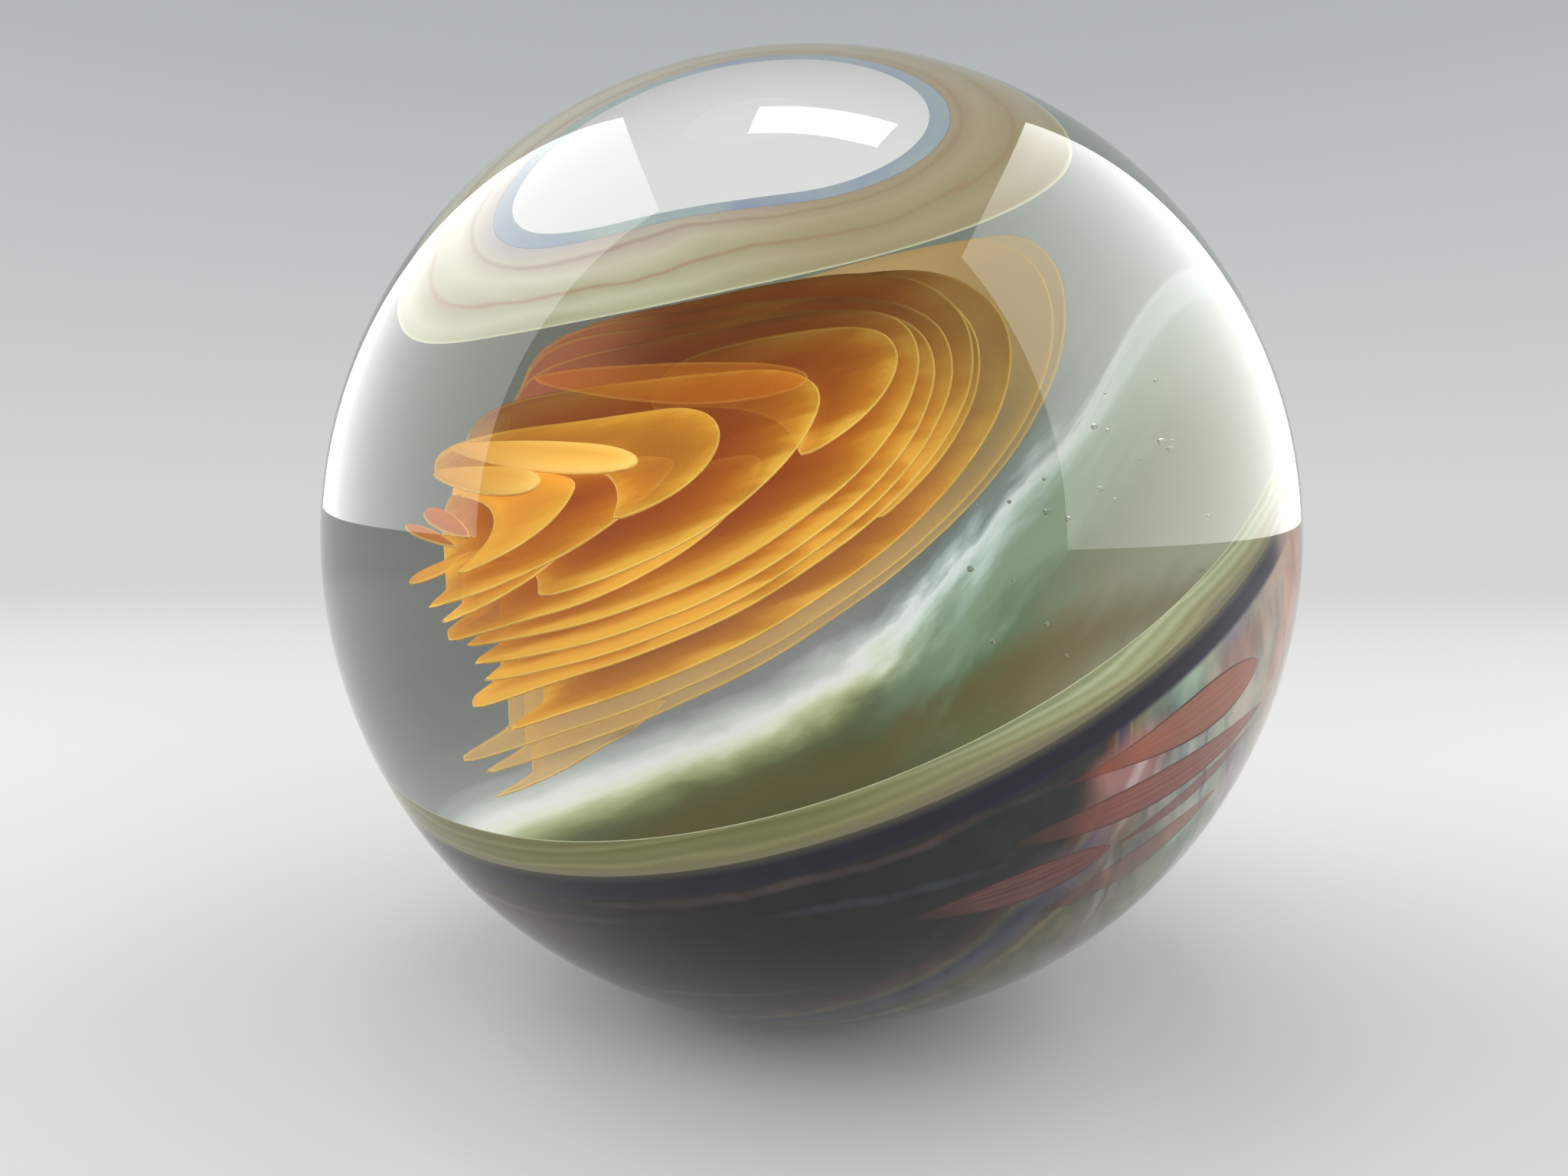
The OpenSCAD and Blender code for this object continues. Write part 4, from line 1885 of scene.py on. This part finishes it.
@dataclass
class SeedBubbles:
    """A drift of tiny bubbles just inside the bowl's right wall, in millimetres.

    Args:
        middle: The middle of the drift.
        spread: Half its size each way.
        count: How many bubbles it has.
        radius: Radius of the largest.
        seed: Seed of their places.
    """

    middle: Point3 = (7.5, 8.6, -7.4)
    spread: Point3 = (5.5, 2.6, 4.5)
    count: int = 26
    radius: float = 0.13
    seed: int = 5
    finish: Finish = field(default_factory=BubbleAir)

    @staticmethod
    def tree() -> Tree:
        """Build the nodes that place the bubbles."""
        sizes = {"Count": "Int", "Radius": "Float", "Middle": "Vector", "Spread": "Vector", "Seed": "Int"}
        tree, given = geometry_tree("seed_bubbles", **sizes)
        reach = (given["Middle"], given["Spread"])
        low, high = (add(tree, VECTOR_MATH, reach, operation=name) for name in ("SUBTRACT", "ADD"))
        random = "FunctionNodeRandomValue"
        place = add(tree, random, {0: low, 1: high, "Seed": given["Seed"]}, data_type="FLOAT_VECTOR")
        dots = add(tree, "GeometryNodePoints", {"Count": given["Count"], "Position": place})
        size_seed = add(tree, "FunctionNodeIntegerMath", (given["Seed"], 1), operation="ADD")
        size = add(tree, random, {2: 0.3, 3: 1.0, "Seed": size_seed}, data_type="FLOAT")
        ball = add(tree, "GeometryNodeMeshIcoSphere", {"Radius": given["Radius"], "Subdivisions": 4})
        many = add(tree, "GeometryNodeInstanceOnPoints", {"Points": dots, "Instance": ball, "Scale": size})
        return close_tree(tree, many, given["Material"])

    def build(self) -> None:
        """Build and dress the bubbles."""
        bubbles = new_object("seed_bubbles", bpy.data.meshes.new("seed_bubbles"))
        sizes = {"Count": self.count, "Radius": self.radius, "Middle": self.middle, "Spread": self.spread}
        grow(bubbles, self.tree(), Seed=self.seed, Material=self.finish.make(), **sizes)
        enlist(bubbles, "clear_glass")


@dataclass(frozen=True)
class Lamp:
    """One soft panel of light.

    Args:
        name: The lamp's name.
        at: Its centre, in metres.
        size: Its width and height, in metres.
        radiance: How bright its face is, where 1 shows as white.
        mirrored: Whether glass shows it.
        facing: The way it shines. None makes it face the marble.
    """

    name: str
    at: Point3
    size: Point2
    radiance: float
    mirrored: bool = True
    facing: Point3 | None = None

    def place(self) -> None:
        """Add the lamp to the scene."""
        data = bpy.data.lights.new(self.name, "AREA")
        data.shape = "RECTANGLE"
        data.size, data.size_y = self.size
        data.energy = self.radiance * self.size[0] * self.size[1] * math.pi
        data.cycles.use_multiple_importance_sampling = self.mirrored
        lamp = bpy.data.objects.new(self.name, data)
        lamp.location = self.at
        away = -Vector(self.facing) if self.facing else Vector(self.at)
        lamp.rotation_euler = away.to_track_quat("Z", "Y").to_euler()
        lamp.visible_camera = False
        lamp.visible_glossy = lamp.visible_transmission = self.mirrored
        bpy.context.scene.collection.objects.link(lamp)


LAMPS = (
    Lamp("left_panel", (-0.35, 0.18, 0.4), (0.6, 0.78), 2.35, facing=(1, 0, 0)),
    Lamp("right_panel", (0.35, 0.11, 0.33), (0.74, 0.66), 2.75, facing=(-1, 0, 0)),
    Lamp("top_panel", (0.012, 0.05, 0.36), (0.12, 0.06), 8.0),
    Lamp("overhead_fill", (-0.24, -0.29, 0.6), (0.6, 0.6), 1.8, mirrored=False),
    Lamp("front_fill", (0.05, -0.6, 0.4), (0.6, 0.6), 3.0, mirrored=False),
    Lamp("side_fill", (-0.62, -0.12, 0.3), (0.5, 0.5), 3.2, mirrored=False),
    Lamp("right_fill", (0.5, -0.42, 0.24), (0.4, 0.4), 3.4, mirrored=False),
)


@dataclass
class Studio:
    """The plain pale floor, the soft light and the camera.

    Args:
        camera_at: The camera's place, in metres.
        pitch: How far it looks up, in degrees.
        yaw: How far it looks to the left.
        focal: Its focal length, in millimetres.
        clip_start: The least distance that it sees, in metres.
        half_floor: Half the floor's side.
        ambient: Colour and strength of the light from all round.
        sky: Colours of the backdrop above the horizon.
        paper: The floor's finish.
    """

    camera_at: Point3 = (0.0, -0.061966, 0.002056)
    pitch: float = -4.2
    yaw: float = 1.19
    focal: float = 25.58
    clip_start: float = 0.001
    half_floor: float = 3.0
    ambient: tuple[str, float] = ("#FFFFFF", 0.5)
    sky: Stops = ((0.35, "#B4B8BA"), (1.0, "#8E9497"))
    paper: MattPaper = field(default_factory=MattPaper)

    def camera(self) -> None:
        """Place the camera."""
        data = bpy.data.cameras.new("camera")
        data.lens = self.focal
        data.sensor_width = 36.0
        data.clip_start = self.clip_start
        camera = bpy.data.objects.new("camera", data)
        camera.location = self.camera_at
        camera.rotation_euler = (math.radians(90 + self.pitch), 0, math.radians(self.yaw))
        bpy.context.scene.collection.objects.link(camera)
        bpy.context.scene.camera = camera

    def world(self) -> None:
        """Make the pale backdrop and the soft light from all round."""
        world = bpy.data.worlds.new("studio")
        bpy.context.scene.world = world
        world.use_nodes = True
        tree = world.node_tree
        tree.nodes.clear()
        split = add(tree, SPLIT, (add(tree, PLACE).outputs["Generated"],))
        sky = ramp_over(tree, split.outputs[2], ((0.0, self.paper.horizon), *self.sky))
        backdrop = add(tree, BACKGROUND, (sky, 1.0))
        mix = add(tree, MIX_SHADER, (seen(tree), add(tree, BACKGROUND, self.ambient), backdrop))
        add(tree, "ShaderNodeOutputWorld", {"Surface": mix})

    def floor(self) -> None:
        """Lay the floor under the marble."""
        work = bmesh.new()
        bmesh.ops.create_grid(work, x_segments=1, y_segments=1, size=self.half_floor)
        bmesh.ops.translate(work, verts=work.verts, vec=(0, 0, -RADII.ball * MM))
        floor = new_object("studio_floor", from_bmesh("studio_floor", work))
        floor.data.materials.append(self.paper.make())

    def build(self) -> None:
        """Set up all that isn't part of the marble."""
        self.world()
        self.floor()
        for lamp in LAMPS:
            lamp.place()
        cycles = bpy.context.scene.cycles
        cycles.transparent_max_bounces = 80
        cycles.max_bounces = 16
        cycles.diffuse_bounces = 6
        cycles.caustics_refractive = False
        cycles.caustics_reflective = False
        bpy.context.scene.view_settings.view_transform = "Standard"


def main() -> None:
    """Build the marble and its studio."""
    logging.basicConfig(level=logging.INFO, format="%(name)s %(message)s")
    studio = Studio()
    studio.camera()
    for part in (ClearBall(), AmberVeils(), Bowl(), Streak(), Ribbons(), SeedBubbles()):
        part.build()
    studio.build()


if __name__ == "__main__":
    main()
